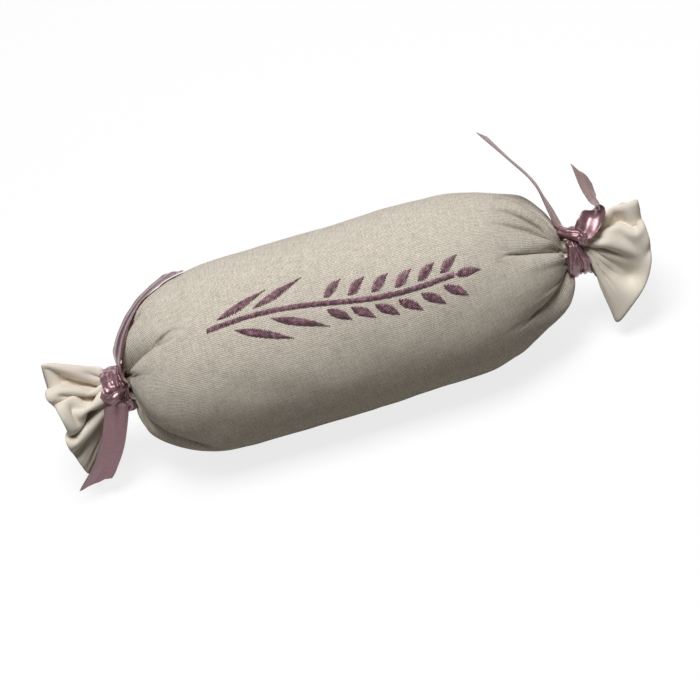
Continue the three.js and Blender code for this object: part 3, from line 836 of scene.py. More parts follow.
def dent_ears(places):
    """Presses the dents into the settled ears."""
    for side, dents in EAR_DENTS.items():
        for (out, up, front), depth, reach in dents:
            middle = np.array([tie(side) + side * out * MM, -front * MM, up * MM])
            near = np.exp(-np.sum((places - middle) ** 2, axis=1) / (reach * MM) ** 2)
            near[side * places[:, 0] < abs(tie(side))] = 0
            places += np.outer(near * depth * MM, DENT_WAY)
    return places


def split_off(whole, name, chosen):
    """Separates the chosen faces into a piece of their own."""
    choose_faces(whole, chosen)
    bpy.ops.mesh.separate(type="SELECTED")
    bpy.ops.object.mode_set(mode="OBJECT")
    return named(next(piece for piece in bpy.context.selected_objects if piece is not whole), name)


# Share of the linen's weave that shows on the doubled ears
EAR_WEAVE = 0.14


class SACHET_OT_cloth(bpy.types.Operator):
    """Draw a tube of linen in at both ties, for the sleeve and the two ears"""

    bl_idname = "sachet.cloth"
    bl_label = "Linen sleeve and ears"

    def execute(self, context):
        tube = tube_of_cloth()
        flat = places_of(tube) / SIM_SCALE
        simulate(tube, flat)
        places = dent_ears(fill_out(places_of(tube) / SIM_SCALE, flat))
        places[:, 2] = np.maximum(places[:, 2] + sizes().axis_height, 0)
        set_places(tube, places)
        circumference = math.pi * sizes().roll_diameter
        total = cloth_length(LEFT) + cloth_length(RIGHT)
        uv_scale = (circumference / MM, 2 * total / MM, 1)
        ears = {}
        for side in (LEFT, RIGHT):
            ears[side] = split_off(tube, SIDE_NAMES[side] + "_ear_cloth",
                                   lambda centre: side * centre.x > abs(tie(side)))
        named(tube, "sleeve_cloth")
        copy_of(tube, "lining_form")
        linen = linen_finish("linen", tuple(colours().linen), uv_scale, 1.0)
        doubled = linen_finish("doubled linen", tuple(colours().ear_linen), uv_scale, EAR_WEAVE)
        apply_modifier(tube, "SOLIDIFY", thickness=sizes().cloth, offset=-1)
        subdivide(tube)
        shade_smooth(tube)
        dress(tube, linen)
        hand_over(tube, "linen_sleeve", "roll")
        for side, ear in ears.items():
            node = SIDE_NAMES[side] + "_ear"
            apply_modifier(ear, "SOLIDIFY", thickness=sizes().hem, offset=0)
            subdivide(ear)
            shade_smooth(ear)
            dress(ear, doubled)
            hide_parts(node)
            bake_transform(ear)
        return {"FINISHED"}


# Inside: the backing, the muslin bag and the buds

def inner_copy(name, inset, keep):
    """A copy of the sleeve's cloth, drawn in by an inset, of the faces that are kept."""
    piece = copy_of(bpy.data.objects["lining_form"], name)
    normals = np.zeros(len(piece.data.vertices) * 3)
    piece.data.vertices.foreach_get("normal", normals)
    set_places(piece, places_of(piece) - normals.reshape(-1, 3) * inset)
    choose_faces(piece, lambda centre: not keep(centre))
    bpy.ops.mesh.delete(type="FACE")
    bpy.ops.object.mode_set(mode="OBJECT")
    return piece


def close_ends(piece):
    """Gathers each open end of a bag to a small closed mouth."""
    select_only(piece)
    bpy.ops.object.mode_set(mode="EDIT")
    bpy.ops.mesh.select_mode(type="EDGE")
    bpy.ops.mesh.select_all(action="SELECT")
    bpy.ops.mesh.region_to_loop()
    bpy.ops.mesh.fill_holes(sides=0)
    bpy.ops.mesh.select_all(action="SELECT")
    bpy.ops.mesh.normals_make_consistent(inside=False)
    bpy.ops.object.mode_set(mode="OBJECT")


def surface_angle(place):
    """Angle about the roll of a place, in degrees from the top towards the back."""
    return math.degrees(math.atan2(place[1], place[2] - sizes().axis_height))


class SACHET_OT_filling(bpy.types.Operator):
    """Model the embroidery backing, the muslin bag and the dried buds inside the sleeve"""

    bl_idname = "sachet.filling"
    bl_label = "Backing, muslin bag and buds"

    backing_inset = 0.8 * MM
    bag_inset = 1.7 * MM
    bud_inset = 3.4 * MM
    thickness = 0.4 * MM
    bag_end = 59.0 * MM
    bud_end = 55.0 * MM
    bud_count = 620
    bud_length = 4.6 * MM
    bud_width = 1.9 * MM

    def execute(self, context):
        low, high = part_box("embroidery_backing")
        reach = abs(surface_angle((0, low.y, low.z)) - ROOT_ANGLE)
        backing = inner_copy("backing_cloth", self.backing_inset, lambda centre: (
            low.x < centre.x < high.x and abs(surface_angle(centre) - ROOT_ANGLE) < reach))
        apply_modifier(backing, "SOLIDIFY", thickness=self.thickness, offset=-1)
        shade_smooth(backing)
        dress(backing, fibre_finish("felt", tuple(colours().felt), 1500.0, 0.06))
        hand_over(backing, "embroidery_backing", "roll")

        bag = inner_copy("muslin_bag", self.bag_inset, lambda centre: abs(centre.x) < self.bag_end)
        apply_modifier(bag, "SMOOTH", factor=0.5, iterations=6)
        close_ends(bag)
        apply_modifier(bag, "SOLIDIFY", thickness=self.thickness, offset=-1)
        shade_smooth(bag)
        dress(bag, fibre_finish("muslin", tuple(colours().muslin), 900.0, 0.08))
        hand_over(bag, "muslin_liner", "roll")

        heap = inner_copy("bud_heap", self.bud_inset, lambda centre: abs(centre.x) < self.bud_end)
        apply_modifier(heap, "SMOOTH", factor=0.5, iterations=20)
        close_ends(heap)
        buds = self.scattered_buds(heap)
        filling = join([heap, buds], "lavender_buds")
        shade_smooth(filling)
        dress(filling, fibre_finish("dried buds", tuple(colours().buds), 600.0, 0.35))
        hand_over(filling, "lavender_fill", "roll")
        bpy.data.objects.remove(bpy.data.objects["lining_form"])
        return {"FINISHED"}

    def scattered_buds(self, heap):
        """Small spindles half sunk all over the heap."""
        deselect()
        bpy.ops.mesh.primitive_uv_sphere_add(segments=6, ring_count=5, radius=1)
        pattern = bpy.context.object
        bpy.ops.transform.resize(value=(self.bud_length / 2, self.bud_width / 2, self.bud_width / 2))
        bpy.ops.object.transform_apply(location=False, rotation=False, scale=True)
        shape = places_of(pattern)
        faces = [list(face.vertices) for face in pattern.data.polygons]
        draw = np.random.default_rng(7)
        wide = [face for face in heap.data.polygons if len(face.vertices) == 4]
        chosen = draw.choice(len(wide), self.bud_count, replace=False)
        places, corners = [], []
        for index in chosen:
            face = wide[int(index)]
            turn = draw.uniform(0, math.pi)
            tilt = Vector((0, 0, 1)).rotation_difference(face.normal).to_matrix()
            spin = Matrix.Rotation(turn, 3, "Z")
            rows = np.array(tilt @ spin) @ shape.T
            corners.extend([[corner + len(places) * len(shape) for corner in ring] for ring in faces])
            places.append(rows.T + np.array(face.center))
        mesh = bpy.data.meshes.new("buds")
        mesh.from_pydata(np.concatenate(places).tolist(), [], corners)
        bpy.data.objects.remove(pattern)
        return placed("buds", mesh)


# Stitches: threads laid over the cloth

# Angle about the roll of the sprig, from the top towards the back, in degrees
ROOT_ANGLE = -39.0
SPRIG_MIDDLE = 2 * MM
SPRIG_LENGTH = 76 * MM
SPRIG_SLOPE = math.radians(4)
SPRIG_SWAY = 1.6 * MM
STEM_WIDTH = 1.7 * MM
BUD_LENGTH = 7 * MM
BUD_WIDTH = 3 * MM
BUD_TILT = 36
WHORLS = 6
WHORL_SPACING = 6.4 * MM
LEAF_LENGTH = 16 * MM
LEAF_WIDTH = 2.6 * MM
LEAF_TILT = 21
LEAF_STEPS = (0.05, 0.2)
STITCH_GAP = 0.3 * MM
STITCH_LEAN = 0.45
# Spacing of the threads in a stitched shape, against their width
THREAD_SPACING = 1.12
# Distance to each side of a stitch over which the line's heading is taken
HEADING_REACH = 0.5 * MM
THREAD_RINGS = 5
THREAD_SIDES = 6


def sleeve_surface():
    """A search tree of the sleeve, for setting stitches on its cloth."""
    sleeve = bpy.data.objects["sleeve_cloth"]
    return BVHTree.FromPolygons(
        [vertex.co for vertex in sleeve.data.vertices],
        [face.vertices for face in sleeve.data.polygons])


def on_cloth(surface, x, degrees):
    """The place on the outside of the cloth at x and an angle, and the direction off it."""
    outside = on_axis(x, degrees, roll_radius() * 1.4)
    hit, _, _, _ = surface.ray_cast(outside, -spoke(degrees))
    return hit, spoke(degrees)


def on_sprig(surface, x, arc):
    slope = math.tan(SPRIG_SLOPE) * (x - SPRIG_MIDDLE)
    return on_cloth(surface, x, ROOT_ANGLE + math.degrees((arc - slope) / roll_radius()))


class ThreadPattern:
    """One short thread, modelled once, that is laid many times."""

    def __init__(self):
        deselect()
        bpy.ops.mesh.primitive_cylinder_add(vertices=THREAD_SIDES, radius=1, depth=2)
        pattern = bpy.context.object
        cut_along(pattern, 2, 0.5, THREAD_RINGS - 2)
        self.shape = places_of(pattern)
        self.faces = [list(face.vertices) for face in pattern.data.polygons]
        bpy.data.objects.remove(pattern)

    def laid(self, start, end, off, rise, radius):
        """Places of a thread arched from start to end, off being the direction away from the cloth."""
        along = (end - start).normalized()
        side = np.array(along.cross(off).normalized())
        share = (self.shape[:, 2] + 1) / 2
        arch = np.sqrt(np.maximum(0, 1 - self.shape[:, 2] ** 2))
        middle = np.outer(1 - share, start) + np.outer(share, end) + np.outer(arch * rise, off)
        thin = radius * (0.55 + 0.45 * arch)
        across = np.outer(self.shape[:, 0] * thin, side)
        return middle + across + np.outer(self.shape[:, 1] * thin, off)


def stitched_piece(name, pattern, laid):
    """One mesh of many laid threads, each with UVs along and around it."""
    count = len(pattern.shape)
    faces = [[corner + i * count for corner in face] for i in range(len(laid)) for face in pattern.faces]
    mesh = bpy.data.meshes.new(name)
    mesh.from_pydata(np.concatenate(laid).tolist(), [], faces)
    mesh.uv_layers.new(name="thread")
    piece = placed(name, mesh)
    turn = np.arctan2(pattern.shape[:, 1], pattern.shape[:, 0]) / (2 * math.pi)
    lot, local = np.divmod(np.arange(len(mesh.vertices)), count)
    set_uv(piece, np.stack([turn[local] + lot * 0.37, (pattern.shape[local, 2] + 1) / 2 + lot * 0.61], 1))
    recalculate_outside(piece)
    shade_smooth(piece)
    return piece


class SACHET_OT_embroidery(bpy.types.Operator):
    """Embroider the sprig on the front of the sleeve in satin stitch"""

    bl_idname = "sachet.embroidery"
    bl_label = "Embroidered sprig"

    stitch_rise = 0.55 * MM
    stitch_sink = 0.12 * MM
    stem_points = 60
    almond_points = 30

    def execute(self, context):
        self.surface = sleeve_surface()
        self.pattern = ThreadPattern()
        self.draw = np.random.default_rng(11)
        self.finish = thread_finish("embroidery thread", tuple(colours().embroidery), 0.42, 0.3)
        stem = [self.stem_point(share) for share in np.linspace(0, 1, self.stem_points)]
        self.sew("sprig_stem", stem, lambda share: STEM_WIDTH)
        offset = STEM_WIDTH / 2 + STITCH_GAP
        leaf = 0
        for share in LEAF_STEPS:
            for side in (1, -1):
                leaf += 1
                x, arc = self.stem_point(share)
                start = (x + (0 if side > 0 else LEAF_LENGTH / 4), arc + side * (offset + LEAF_WIDTH * 0.3))
                self.almond(f"sprig_leaf_{leaf}", start, side * LEAF_TILT, LEAF_LENGTH, LEAF_WIDTH)
        bud = 0
        for whorl in range(WHORLS):
            x = self.stem_end() - BUD_LENGTH / 2 - (WHORLS - 1 - whorl) * WHORL_SPACING
            share = (x - self.stem_start()) / (self.stem_end() - self.stem_start())
            arc = self.stem_point(share)[1]
            for side in (1, -1):
                bud += 1
                start = (x, arc + side * (offset + BUD_WIDTH * 0.2))
                self.almond(f"sprig_bud_{bud}", start, side * BUD_TILT, BUD_LENGTH, BUD_WIDTH)
        x, arc = self.stem_point(1)
        self.almond(f"sprig_bud_{bud + 1}", (x + STITCH_GAP, arc), 0, BUD_LENGTH, BUD_WIDTH)
        return {"FINISHED"}

    def stem_start(self):
        return SPRIG_MIDDLE - SPRIG_LENGTH / 2

    def stem_end(self):
        return SPRIG_MIDDLE + SPRIG_LENGTH / 2 - BUD_LENGTH - STITCH_GAP

    def stem_point(self, share):
        x = self.stem_start() + (self.stem_end() - self.stem_start()) * share
        return x, SPRIG_SWAY * math.sin(share * math.pi * 2)

    def almond(self, node, start, degrees, length, width):
        """A leaf or bud from a point on the cloth, heading at an angle."""
        angle = math.radians(degrees)
        line = [(start[0] + math.cos(angle) * length * share, start[1] + math.sin(angle) * length * share)
                for share in np.linspace(0, 1, self.almond_points)]
        self.sew(node, line, lambda share: max(width * math.sin(math.pi * share ** 0.8), width * 0.12))

    def sew(self, node, line, width):
        """Lays threads across a line on the cloth, leaning along it, from edge to edge of its width."""
        line = np.array(line)
        steps = np.concatenate([[0], np.cumsum(np.hypot(*np.diff(line, axis=0).T))])
        count = int(steps[-1] / (sizes().thread * THREAD_SPACING))
        laid = []
        for index in range(count):
            at = (index + 0.5) * steps[-1] / count
            nearby = (at, min(at + HEADING_REACH, steps[-1]), max(at - HEADING_REACH, 0))
            (x, arc), ahead, behind = np.stack([np.interp(nearby, steps, values) for values in line.T], 1)
            heading = (ahead - behind) / np.linalg.norm(ahead - behind)
            across = np.array([-heading[1], heading[0]]) + heading * STITCH_LEAN
            half = width(at / steps[-1]) / 2 * self.draw.uniform(0.9, 1.12)
            ends = []
            for way in (-1, 1):
                place, off = on_sprig(self.surface, x + across[0] * half * way, arc + across[1] * half * way)
                ends.append(place - off * self.stitch_sink)
            middle, off = on_sprig(self.surface, x, arc)
            rise = self.stitch_rise * min(1.0, 0.45 + half / STEM_WIDTH) * self.draw.uniform(0.85, 1.15)
            radius = sizes().thread / 2 * self.draw.uniform(0.95, 1.2)
            laid.append(self.pattern.laid(ends[0], ends[1], off, rise, radius))
        piece = stitched_piece(node + "_stitches", self.pattern, laid)
        dress(piece, self.finish)
        hand_over(piece, node, "roll")


class SACHET_OT_seam(bpy.types.Operator):
    """Sew the closing seam along the back of the sleeve"""

    bl_idname = "sachet.seam"
    bl_label = "Closing seam"

    pitch = 2.6 * MM
    stitch = 2.0 * MM
    rise = 0.4 * MM
    sink = 0.15 * MM
    lean = 0.25
    thread_radius = 0.24 * MM

    def execute(self, context):
        low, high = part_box("seam_stitching")
        middle = (low + high) / 2
        degrees = surface_angle(middle)
        surface = sleeve_surface()
        pattern = ThreadPattern()
        laid = []
        count = int((high.x - low.x) / self.pitch)
        for index in range(count):
            x = low.x + (index + 0.5) * (high.x - low.x) / count
            ends = []
            for way in (-1, 1):
                place, off = on_cloth(surface, x + way * self.stitch / 2, degrees + way * self.lean)
                ends.append(place - off * self.sink)
            laid.append(pattern.laid(ends[0], ends[1], off, self.rise, self.thread_radius))
        piece = stitched_piece("seam_stitches", pattern, laid)
        dress(piece, thread_finish("sewing thread", tuple(colours().seam), 0.7, 0.15))
        hand_over(piece, "seam_stitching", "roll")
        return {"FINISHED"}


# Ribbons: strips laid along routes, with a glossy face and a matte reverse

class RibbonFinish:
    """The two finishes of the ribbon, made once."""

    made = None

    @classmethod
    def pair(cls):
        if cls.made is None:
            cls.made = (satin_finish("face", tuple(colours().ribbon_face)),
                        satin_finish("reverse", tuple(colours().ribbon_reverse)))
        return cls.made


def finish_ribbon(strip):
    """Gives a laid ribbon its two finishes, its thickness and its smooth shading."""
    dress(strip, *RibbonFinish.pair())
    apply_modifier(strip, "SOLIDIFY", thickness=sizes().ribbon, offset=0, material_offset=1)
    subdivide(strip)
    shade_smooth(strip)
    return strip


# Rate of the small creases where a ribbon is drawn narrow
CRUMPLE_RATE = 720.0


def ribbon_strip(name, points, acrosses, width, along, across, curl, pleats, pleat_depth, crumple, seed,
                 slant=0.0, ragged=0.0, picot=0.0, turned=False):
    """A strip of ribbon through points, with a direction across it at each of them.

    width gives the strip's width at a share of its length. curl is the angle in degrees that the strip is
    rolled through from edge to edge. pleats are creases along it. slant and ragged shape the cut far end.
    picot is the height of the beats along its edges, and crumple that of the creases where it is narrow.
    """
    deselect()
    bpy.ops.mesh.primitive_grid_add(x_subdivisions=across, y_subdivisions=along, size=2)
    strip = bpy.context.object
    strip.name = name
    grid = places_of(strip)
    middles, headings = curve_through(points, along + 1)
    turns, _ = curve_through(acrosses, along + 1)
    turns = turns - headings * np.sum(turns * headings, axis=1)[:, None]
    turns = turns / np.linalg.norm(turns, axis=1)[:, None]
    faces = np.cross(headings, turns)
    run = np.concatenate([[0], np.cumsum(np.linalg.norm(np.diff(middles, axis=0), axis=1))])
    row = np.rint((grid[:, 1] + 1) / 2 * along).astype(int)
    share = row / along
    u = grid[:, 0]
    half = np.array([width(s) for s in np.linspace(0, 1, along + 1)])[row] / 2
    roll = math.radians(curl) / 2
    beat = np.sin(run[row] * 2 * math.pi / SELVEDGE_PITCH)
    sideways = np.sin(u * roll) / roll + np.where(np.abs(u) > 0.99, u * picot * beat / half, 0)
    narrow = np.clip(1 - half / (sizes().ribbon_width / 2), 0, 1)
    wander = 1.7 * np.sin(share * 9 + seed)
    pleat = np.cos(u * math.pi * pleats + wander) * (0.35 + narrow) * pleat_depth / half
    lift = (np.cos(u * roll) - math.cos(roll)) / roll + pleat
    places = middles[row] + turns[row] * (sideways * half)[:, None] + faces[row] * (lift * half)[:, None]
    shift = Vector((seed * 3.1, seed * 1.7, seed * 2.3))
    bumps = np.array([noise.noise(Vector(place) * CRUMPLE_RATE + shift) for place in places])
    places = places + faces[row] * (bumps * crumple * np.minimum(1, 0.08 + 1.4 * narrow))[:, None]
    rough = np.cumsum(np.random.default_rng(seed).normal(0, 1, across + 1))
    rough = rough - np.linspace(rough[0], rough[-1], across + 1)
    column = np.rint((u + 1) / 2 * across).astype(int)
    end = (u * slant / 2 + rough[column] * ragged) * smooth_step(0.7, 1.0, share)
    set_places(strip, places + headings[row] * end[:, None])
    set_uv(strip, np.stack([u * sizes().ribbon_width / 2, run[row] + seed * 0.01], 1))
    if turned:
        strip.data.flip_normals()
    return finish_ribbon(strip)


# Share of the ribbon's width at a tail's root, and share of the tail over which it opens
PINCH = 0.42
PINCH_REACH = 0.25


def tail_width(share, pinch):
    opened = float(smooth_step(0, PINCH_REACH, share))
    return sizes().ribbon_width * (pinch + (1 - pinch) * opened)


def tail_route(side, foot, length, stops):
    """Middles and directions across a tail: each stop has both, outwards, to the front and up."""
    turn = np.array([side, -1, 1])
    middles = [np.array(foot) + turn * np.array(at) * length for at, _ in stops]
    return middles, [turn * np.array(way) for _, way in stops]


LEFT_KNOT = {"angle": -50, "length": 8.4 * MM, "width": 5.6 * MM, "height": 4.2 * MM, "out": 1 * MM}
RIGHT_KNOT = {"angle": -16, "length": 7 * MM, "width": 5.8 * MM, "height": 4 * MM, "out": -1 * MM}
CAD_RIBBON = 0.5 * MM
KNOT_SEAT = 7.05 * MM

# Stops of each tail: its middle as shares of a length, and the direction across it.
# Both go outwards, to the front and up
HANGING_LENGTH = 26 * MM
HANGING_STOPS = [
    ((0, 0, 0), (0.95, 0.0, 0.25)),
    ((0.076, 0.053, -0.182), (0.93, 0.0, 0.32)),
    ((0.191, 0.1, -0.41), (0.9, 0.0, 0.39)),
    ((0.355, 0.116, -0.655), (0.9, 0.0, 0.39)),
    ((0.54, 0.111, -0.87), (0.86, -0.05, 0.45)),
]
LONG_LENGTH = 40 * MM
LONG_STOPS = [
    ((0, 0, 0), (-0.2, 0.96, 0.2)),
    ((-0.027, -0.03, 0.12), (-0.12, 0.97, 0.23)),
    ((-0.068, -0.08, 0.302), (0.05, 0.97, 0.23)),
    ((-0.186, -0.12, 0.528), (0.16, 0.95, 0.25)),
    ((-0.32, -0.16, 0.773), (0.08, 0.97, 0.21)),
]
FOLDED_LENGTH = 21 * MM
FOLDED_STOPS = [
    ((-0.03, 0.04, -0.045), (0.68, 0.65, -0.35)),
    ((0.07, 0.03, 0.0), (0.78, 0.54, -0.33)),
    ((0.18, -0.055, 0.06), (0.74, 0.6, -0.32)),
    ((0.265, -0.14, 0.095), (0.48, 0.87, 0.09)),
    ((0.285, -0.185, 0.13), (0.06, 0.88, 0.47)),
    ((0.26, -0.235, 0.235), (-0.39, 0.52, 0.76)),
    ((0.23, -0.28, 0.365), (-0.43, 0.46, 0.78)),
    ((0.21, -0.355, 0.58), (-0.46, 0.38, 0.8)),
]
# Stops of the tail over the left end: share of the end, angle about the roll and lean off the cloth
SHOULDER_STOPS = [
    (0.94, -26, 0.2), (0.86, -15, 0.18), (0.74, -2, 0.13), (0.64, 10, 0.08),
    (0.52, 21, 0.06), (0.41, 29, 0.1), (0.29, 33, 0.15), (0.2, 33, 0.2),
]
SHOULDER_STEPS = 15
# Foot of that tail: distance from the tie, angle about the roll and distance from its axis
SHOULDER_FOOT = (1.9 * MM, -22, 7.1 * MM)
# Root of each tail inside its knot, from the tail's first stop, in millimetres
TAIL_ROOTS = {
    "left_shoulder_tail": (0.2, -0.5, -1.5),
    "left_hanging_tail": (0.4, 0.9, 2.2),
    "right_long_tail": (1.0, -1.6, -3.0),
    "right_folded_tail": (-1.27, 0.44, -0.655),
}
# How far two tails start back from the middle of their knots, as shares of the ribbon's width
HANGING_SHIFT = 0.12
LONG_SHIFT = 0.31
# Height over the end from which the cloth under a ribbon is felt for, and in how many places across it
FEELER = 12 * MM
FEELERS = 7


def knot_middle(side, knot):
    return on_axis(tie(side) + side * knot["out"], knot["angle"], KNOT_SEAT + knot["height"] * 0.4)


def tail_foot(side, knot, share, rise):
    reach = knot["length"] / 2 + sizes().clearance + CAD_RIBBON
    return knot_middle(side, knot) + around(knot["angle"]) * share * reach + spoke(knot["angle"]) * rise


def out_of_end(side, share, degrees):
    """The way out of the rounded end of the roll, at a share of the end and an angle about the roll."""
    turn = share * math.pi / 2
    return Vector((side * math.sin(turn), 0, 0)) + spoke(degrees) * math.cos(turn)


def over_end(side, share, degrees, lift):
    turn = share * math.pi / 2
    x = side * (roll_end() - end_reach(side) + end_reach(side) * math.sin(turn))
    radius = END_RADIUS + (roll_radius() - END_RADIUS) * math.cos(turn)
    return on_axis(x, degrees, radius) + out_of_end(side, share, degrees) * lift


class SACHET_OT_tails(bpy.types.Operator):
    """Lay the four free tails of the two ribbons"""

    bl_idname = "sachet.tails"
    bl_label = "Ribbon tails"

    def execute(self, context):
        width = sizes().ribbon_width
        along, degrees, height = SHOULDER_FOOT
        middles, acrosses = self.over_shoulder()
        self.lay("left_shoulder_tail", [on_axis(tie(LEFT) + along, degrees, height)] + middles,
                 acrosses[:1] + acrosses, slant=-6 * MM, seed=1, curl=14, pinch=0.92, turned=True)

        foot = tail_foot(LEFT, LEFT_KNOT, -1, 0) - Vector((width * HANGING_SHIFT, 0, 0))
        route = tail_route(LEFT, foot, HANGING_LENGTH, HANGING_STOPS)
        self.lay("left_hanging_tail", *route, slant=8 * MM, seed=2, curl=40)

        foot = tail_foot(RIGHT, RIGHT_KNOT, 1.17, 0.6 * MM) - Vector((width * LONG_SHIFT, 0, 0))
        route = tail_route(RIGHT, foot, LONG_LENGTH, LONG_STOPS)
        self.lay("right_long_tail", *route, slant=6 * MM, seed=3, curl=14)

        past_knot = RIGHT_KNOT["width"] / 2 + sizes().clearance + CAD_RIBBON
        foot = tail_foot(RIGHT, RIGHT_KNOT, 0, 0.8 * MM) + Vector((past_knot, 0, 0))
        route = tail_route(RIGHT, foot, FOLDED_LENGTH, FOLDED_STOPS)
        self.lay("right_folded_tail", *route, slant=10 * MM, seed=4, curl=60, bends=False)
        return {"FINISHED"}

    def over_shoulder(self):
        """Middles of the tail over the left end and the ways across it, taut over the cloth's ridges."""
        order = range(len(SHOULDER_STOPS))
        at = np.linspace(0, order[-1], SHOULDER_STEPS)
        shares, degrees, leans = (np.interp(at, order, values) for values in zip(*SHOULDER_STOPS))
        surface = sleeve_surface()
        heights = np.array([self.highest(surface, *place) for place in zip(shares, degrees)])
        for _ in range(SHOULDER_STEPS):
            heights[1:-1] = np.maximum(heights[1:-1], (heights[:-2] + heights[2:]) / 2)
        lifts = heights + leans * sizes().ribbon_width / 2 + sizes().ribbon
        middles = [over_end(LEFT, *place) for place in zip(shares, degrees, lifts)]
        acrosses = [around(turn) + out_of_end(LEFT, share, turn) * lean
                    for share, turn, lean in zip(shares, degrees, leans)]
        return middles, acrosses

    def highest(self, surface, share, degrees):
        """Height of the gathered cloth over the rounded end, where it is highest under the ribbon."""
        reach = math.degrees(sizes().ribbon_width / 2 / roll_radius())
        heights = []
        for turn in np.linspace(degrees - reach, degrees + reach, FEELERS):
            far = over_end(LEFT, share, turn, FEELER)
            hit, _, _, _ = surface.ray_cast(far, -out_of_end(LEFT, share, turn))
            heights.append(FEELER - (hit - far).length)
        return max(heights)

    def lay(self, node, middles, acrosses, slant, seed, curl, turned=False, pinch=PINCH, bends=True):
        """Lays a tail along its route, from its root inside the knot."""
        foot = Vector(middles[0])
        root = foot + Vector(TAIL_ROOTS[node]) * MM
        strip = ribbon_strip(
            node + "_ribbon", [root] + middles, acrosses[:1] + acrosses,
            lambda share: tail_width(share, pinch), along=150, across=12, curl=curl, pleats=2,
            pleat_depth=0.35 * MM, crumple=0.45 * MM, seed=seed, slant=slant, ragged=0.2 * MM,
            picot=0.07 * MM, turned=turned)
        if bends:
            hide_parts(node)
            ahead = (Vector(middles[1]) - foot).normalized()
            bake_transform(strip)
        else:
            hand_over(strip, node, node)


class SACHET_OT_bands(bpy.types.Operator):
    """Wind the two turns of ribbon around each neck"""

    bl_idname = "sachet.bands"
    bl_label = "Ribbon bands"

    # Radius, slant and phase of the creases of each turn
    turns = ((5.75 * MM, 0.8 * MM, 0.2), (6.25 * MM, -0.9 * MM, 1.9))
    shift = {LEFT: -1.0 * MM, RIGHT: -0.4 * MM}
    narrow = 1.6 * MM
    opening = 1.7 * MM
    flare = 0.35 * MM
    points_around = 96
    cuts_across = 11

    def execute(self, context):
        for side, knot in ((LEFT, LEFT_KNOT), (RIGHT, RIGHT_KNOT)):
            node = SIDE_NAMES[side] + "_ribbon_band"
            wound = [self.turn(side, knot, *values) for values in self.turns]
            band = join(wound, node + "_turns")
            hand_over(band, node, "roll")
        return {"FINISHED"}

    def turn(self, side, knot, radius, sway, phase):
        """One turn: narrow and creased under the knot, wider and slanting away from it."""
        deselect()
        bpy.ops.mesh.primitive_cylinder_add(
            vertices=self.points_around, radius=1, depth=2, end_fill_type="NOTHING",
            rotation=(0, math.pi / 2, 0))
        ring = bpy.context.object
        bpy.ops.object.transform_apply(rotation=True)
        cut_along(ring, 0, 0.5, self.cuts_across)
        shape = places_of(ring)
        angles = np.arctan2(shape[:, 1], shape[:, 2])
        from_knot = angles - math.radians(knot["angle"])
        away = (1 - np.cos(from_knot)) / 2
        half = self.narrow + self.opening * smooth_step(0.0, 0.35, away)
        u = shape[:, 0]
        x = tie(side) + self.shift[side] + sway * (away - 0.35) * 2 + u * half
        crease = (np.cos(u * 4.4 + 1.6 * np.sin(2 * angles + phase)) * (0.24 - 0.12 * away)
                  + 0.14 * np.sin(6 * angles + 4 * u + phase) * (1 - 0.5 * away)) * MM
        waist = radius + self.flare * u * u + crease
        places = np.stack([x, np.sin(angles) * waist, np.cos(angles) * waist + sizes().axis_height], 1)
        set_places(ring, places)
        set_uv(ring, np.stack([u * sizes().ribbon_width / 2, (angles + phase) * radius], 1))
        recalculate_outside(ring)
        return finish_ribbon(ring)


# Angle about the roll that the strands of the knots are measured from
STRAND_ANGLE = -50


def by_tie(side, along, up, out):
    """A place by a tie: along the roll, up around it and out from the axis to the front, in millimetres."""
    middle = Vector((tie(side) + along * MM, 0, sizes().axis_height))
    return middle + around(STRAND_ANGLE) * (up * MM) + spoke(STRAND_ANGLE) * (out * MM)


def way_by_tie(along, up, out):
    return Vector((along, 0, 0)) + around(STRAND_ANGLE) * up + spoke(STRAND_ANGLE) * out


# Strands of each knot: stops of along, up and out, direction across, widths along it, curl and pleats
LEFT_STRANDS = [
    {"stops": [(-1.9, 6.2, 2.2), (-1.9, 5.6, 4.0), (-1.8, 4.2, 6.2), (-1.6, 2.4, 7.9), (-1.6, 0.8, 8.9),
               (-1.7, -0.6, 9.1), (-1.8, -1.7, 8.2)],
     "across": (1, 0.1, 0), "widths": (5.4, 5.0, 3.6), "curl": 30, "pleats": 2},
    {"stops": [(-4.4, -0.2, 5.4), (-4.7, -0.6, 7.2), (-4.2, -1.2, 9.0), (-2.9, -2.2, 10.2),
               (-1.4, -2.3, 10.6), (0.2, -1.6, 9.9), (1.2, -0.9, 8.2), (1.4, -0.4, 6.2)],
     "across": (0.1, 0.85, 0.5), "widths": (2.4, 3.6, 2.6), "curl": 80, "pleats": 2},
    {"stops": [(0.9, 5.6, 3.8), (1.3, 3.0, 6.6), (1.5, 0.2, 7.3), (1.2, -2.4, 6.8), (0.8, -5.0, 4.6)],
     "across": (1, 0, -0.2), "widths": (2.6, 2.6, 3.0), "curl": 50, "pleats": 2},
    {"stops": [(0.4, -3.6, 6.4), (1.3, -4.6, 6.8), (2.0, -5.7, 5.8), (2.0, -6.7, 4.0)],
     "across": (0.75, 0.5, 0.4), "widths": (2.0, 3.0, 3.2), "curl": 40, "pleats": 1},
    {"stops": [(-0.4, -4.2, 6.2), (0.4, -5.5, 5.8), (0.7, -6.8, 4.2)],
     "across": (0.9, 0.3, 0.2), "widths": (1.8, 2.4, 2.6), "curl": 30, "pleats": 1},
]
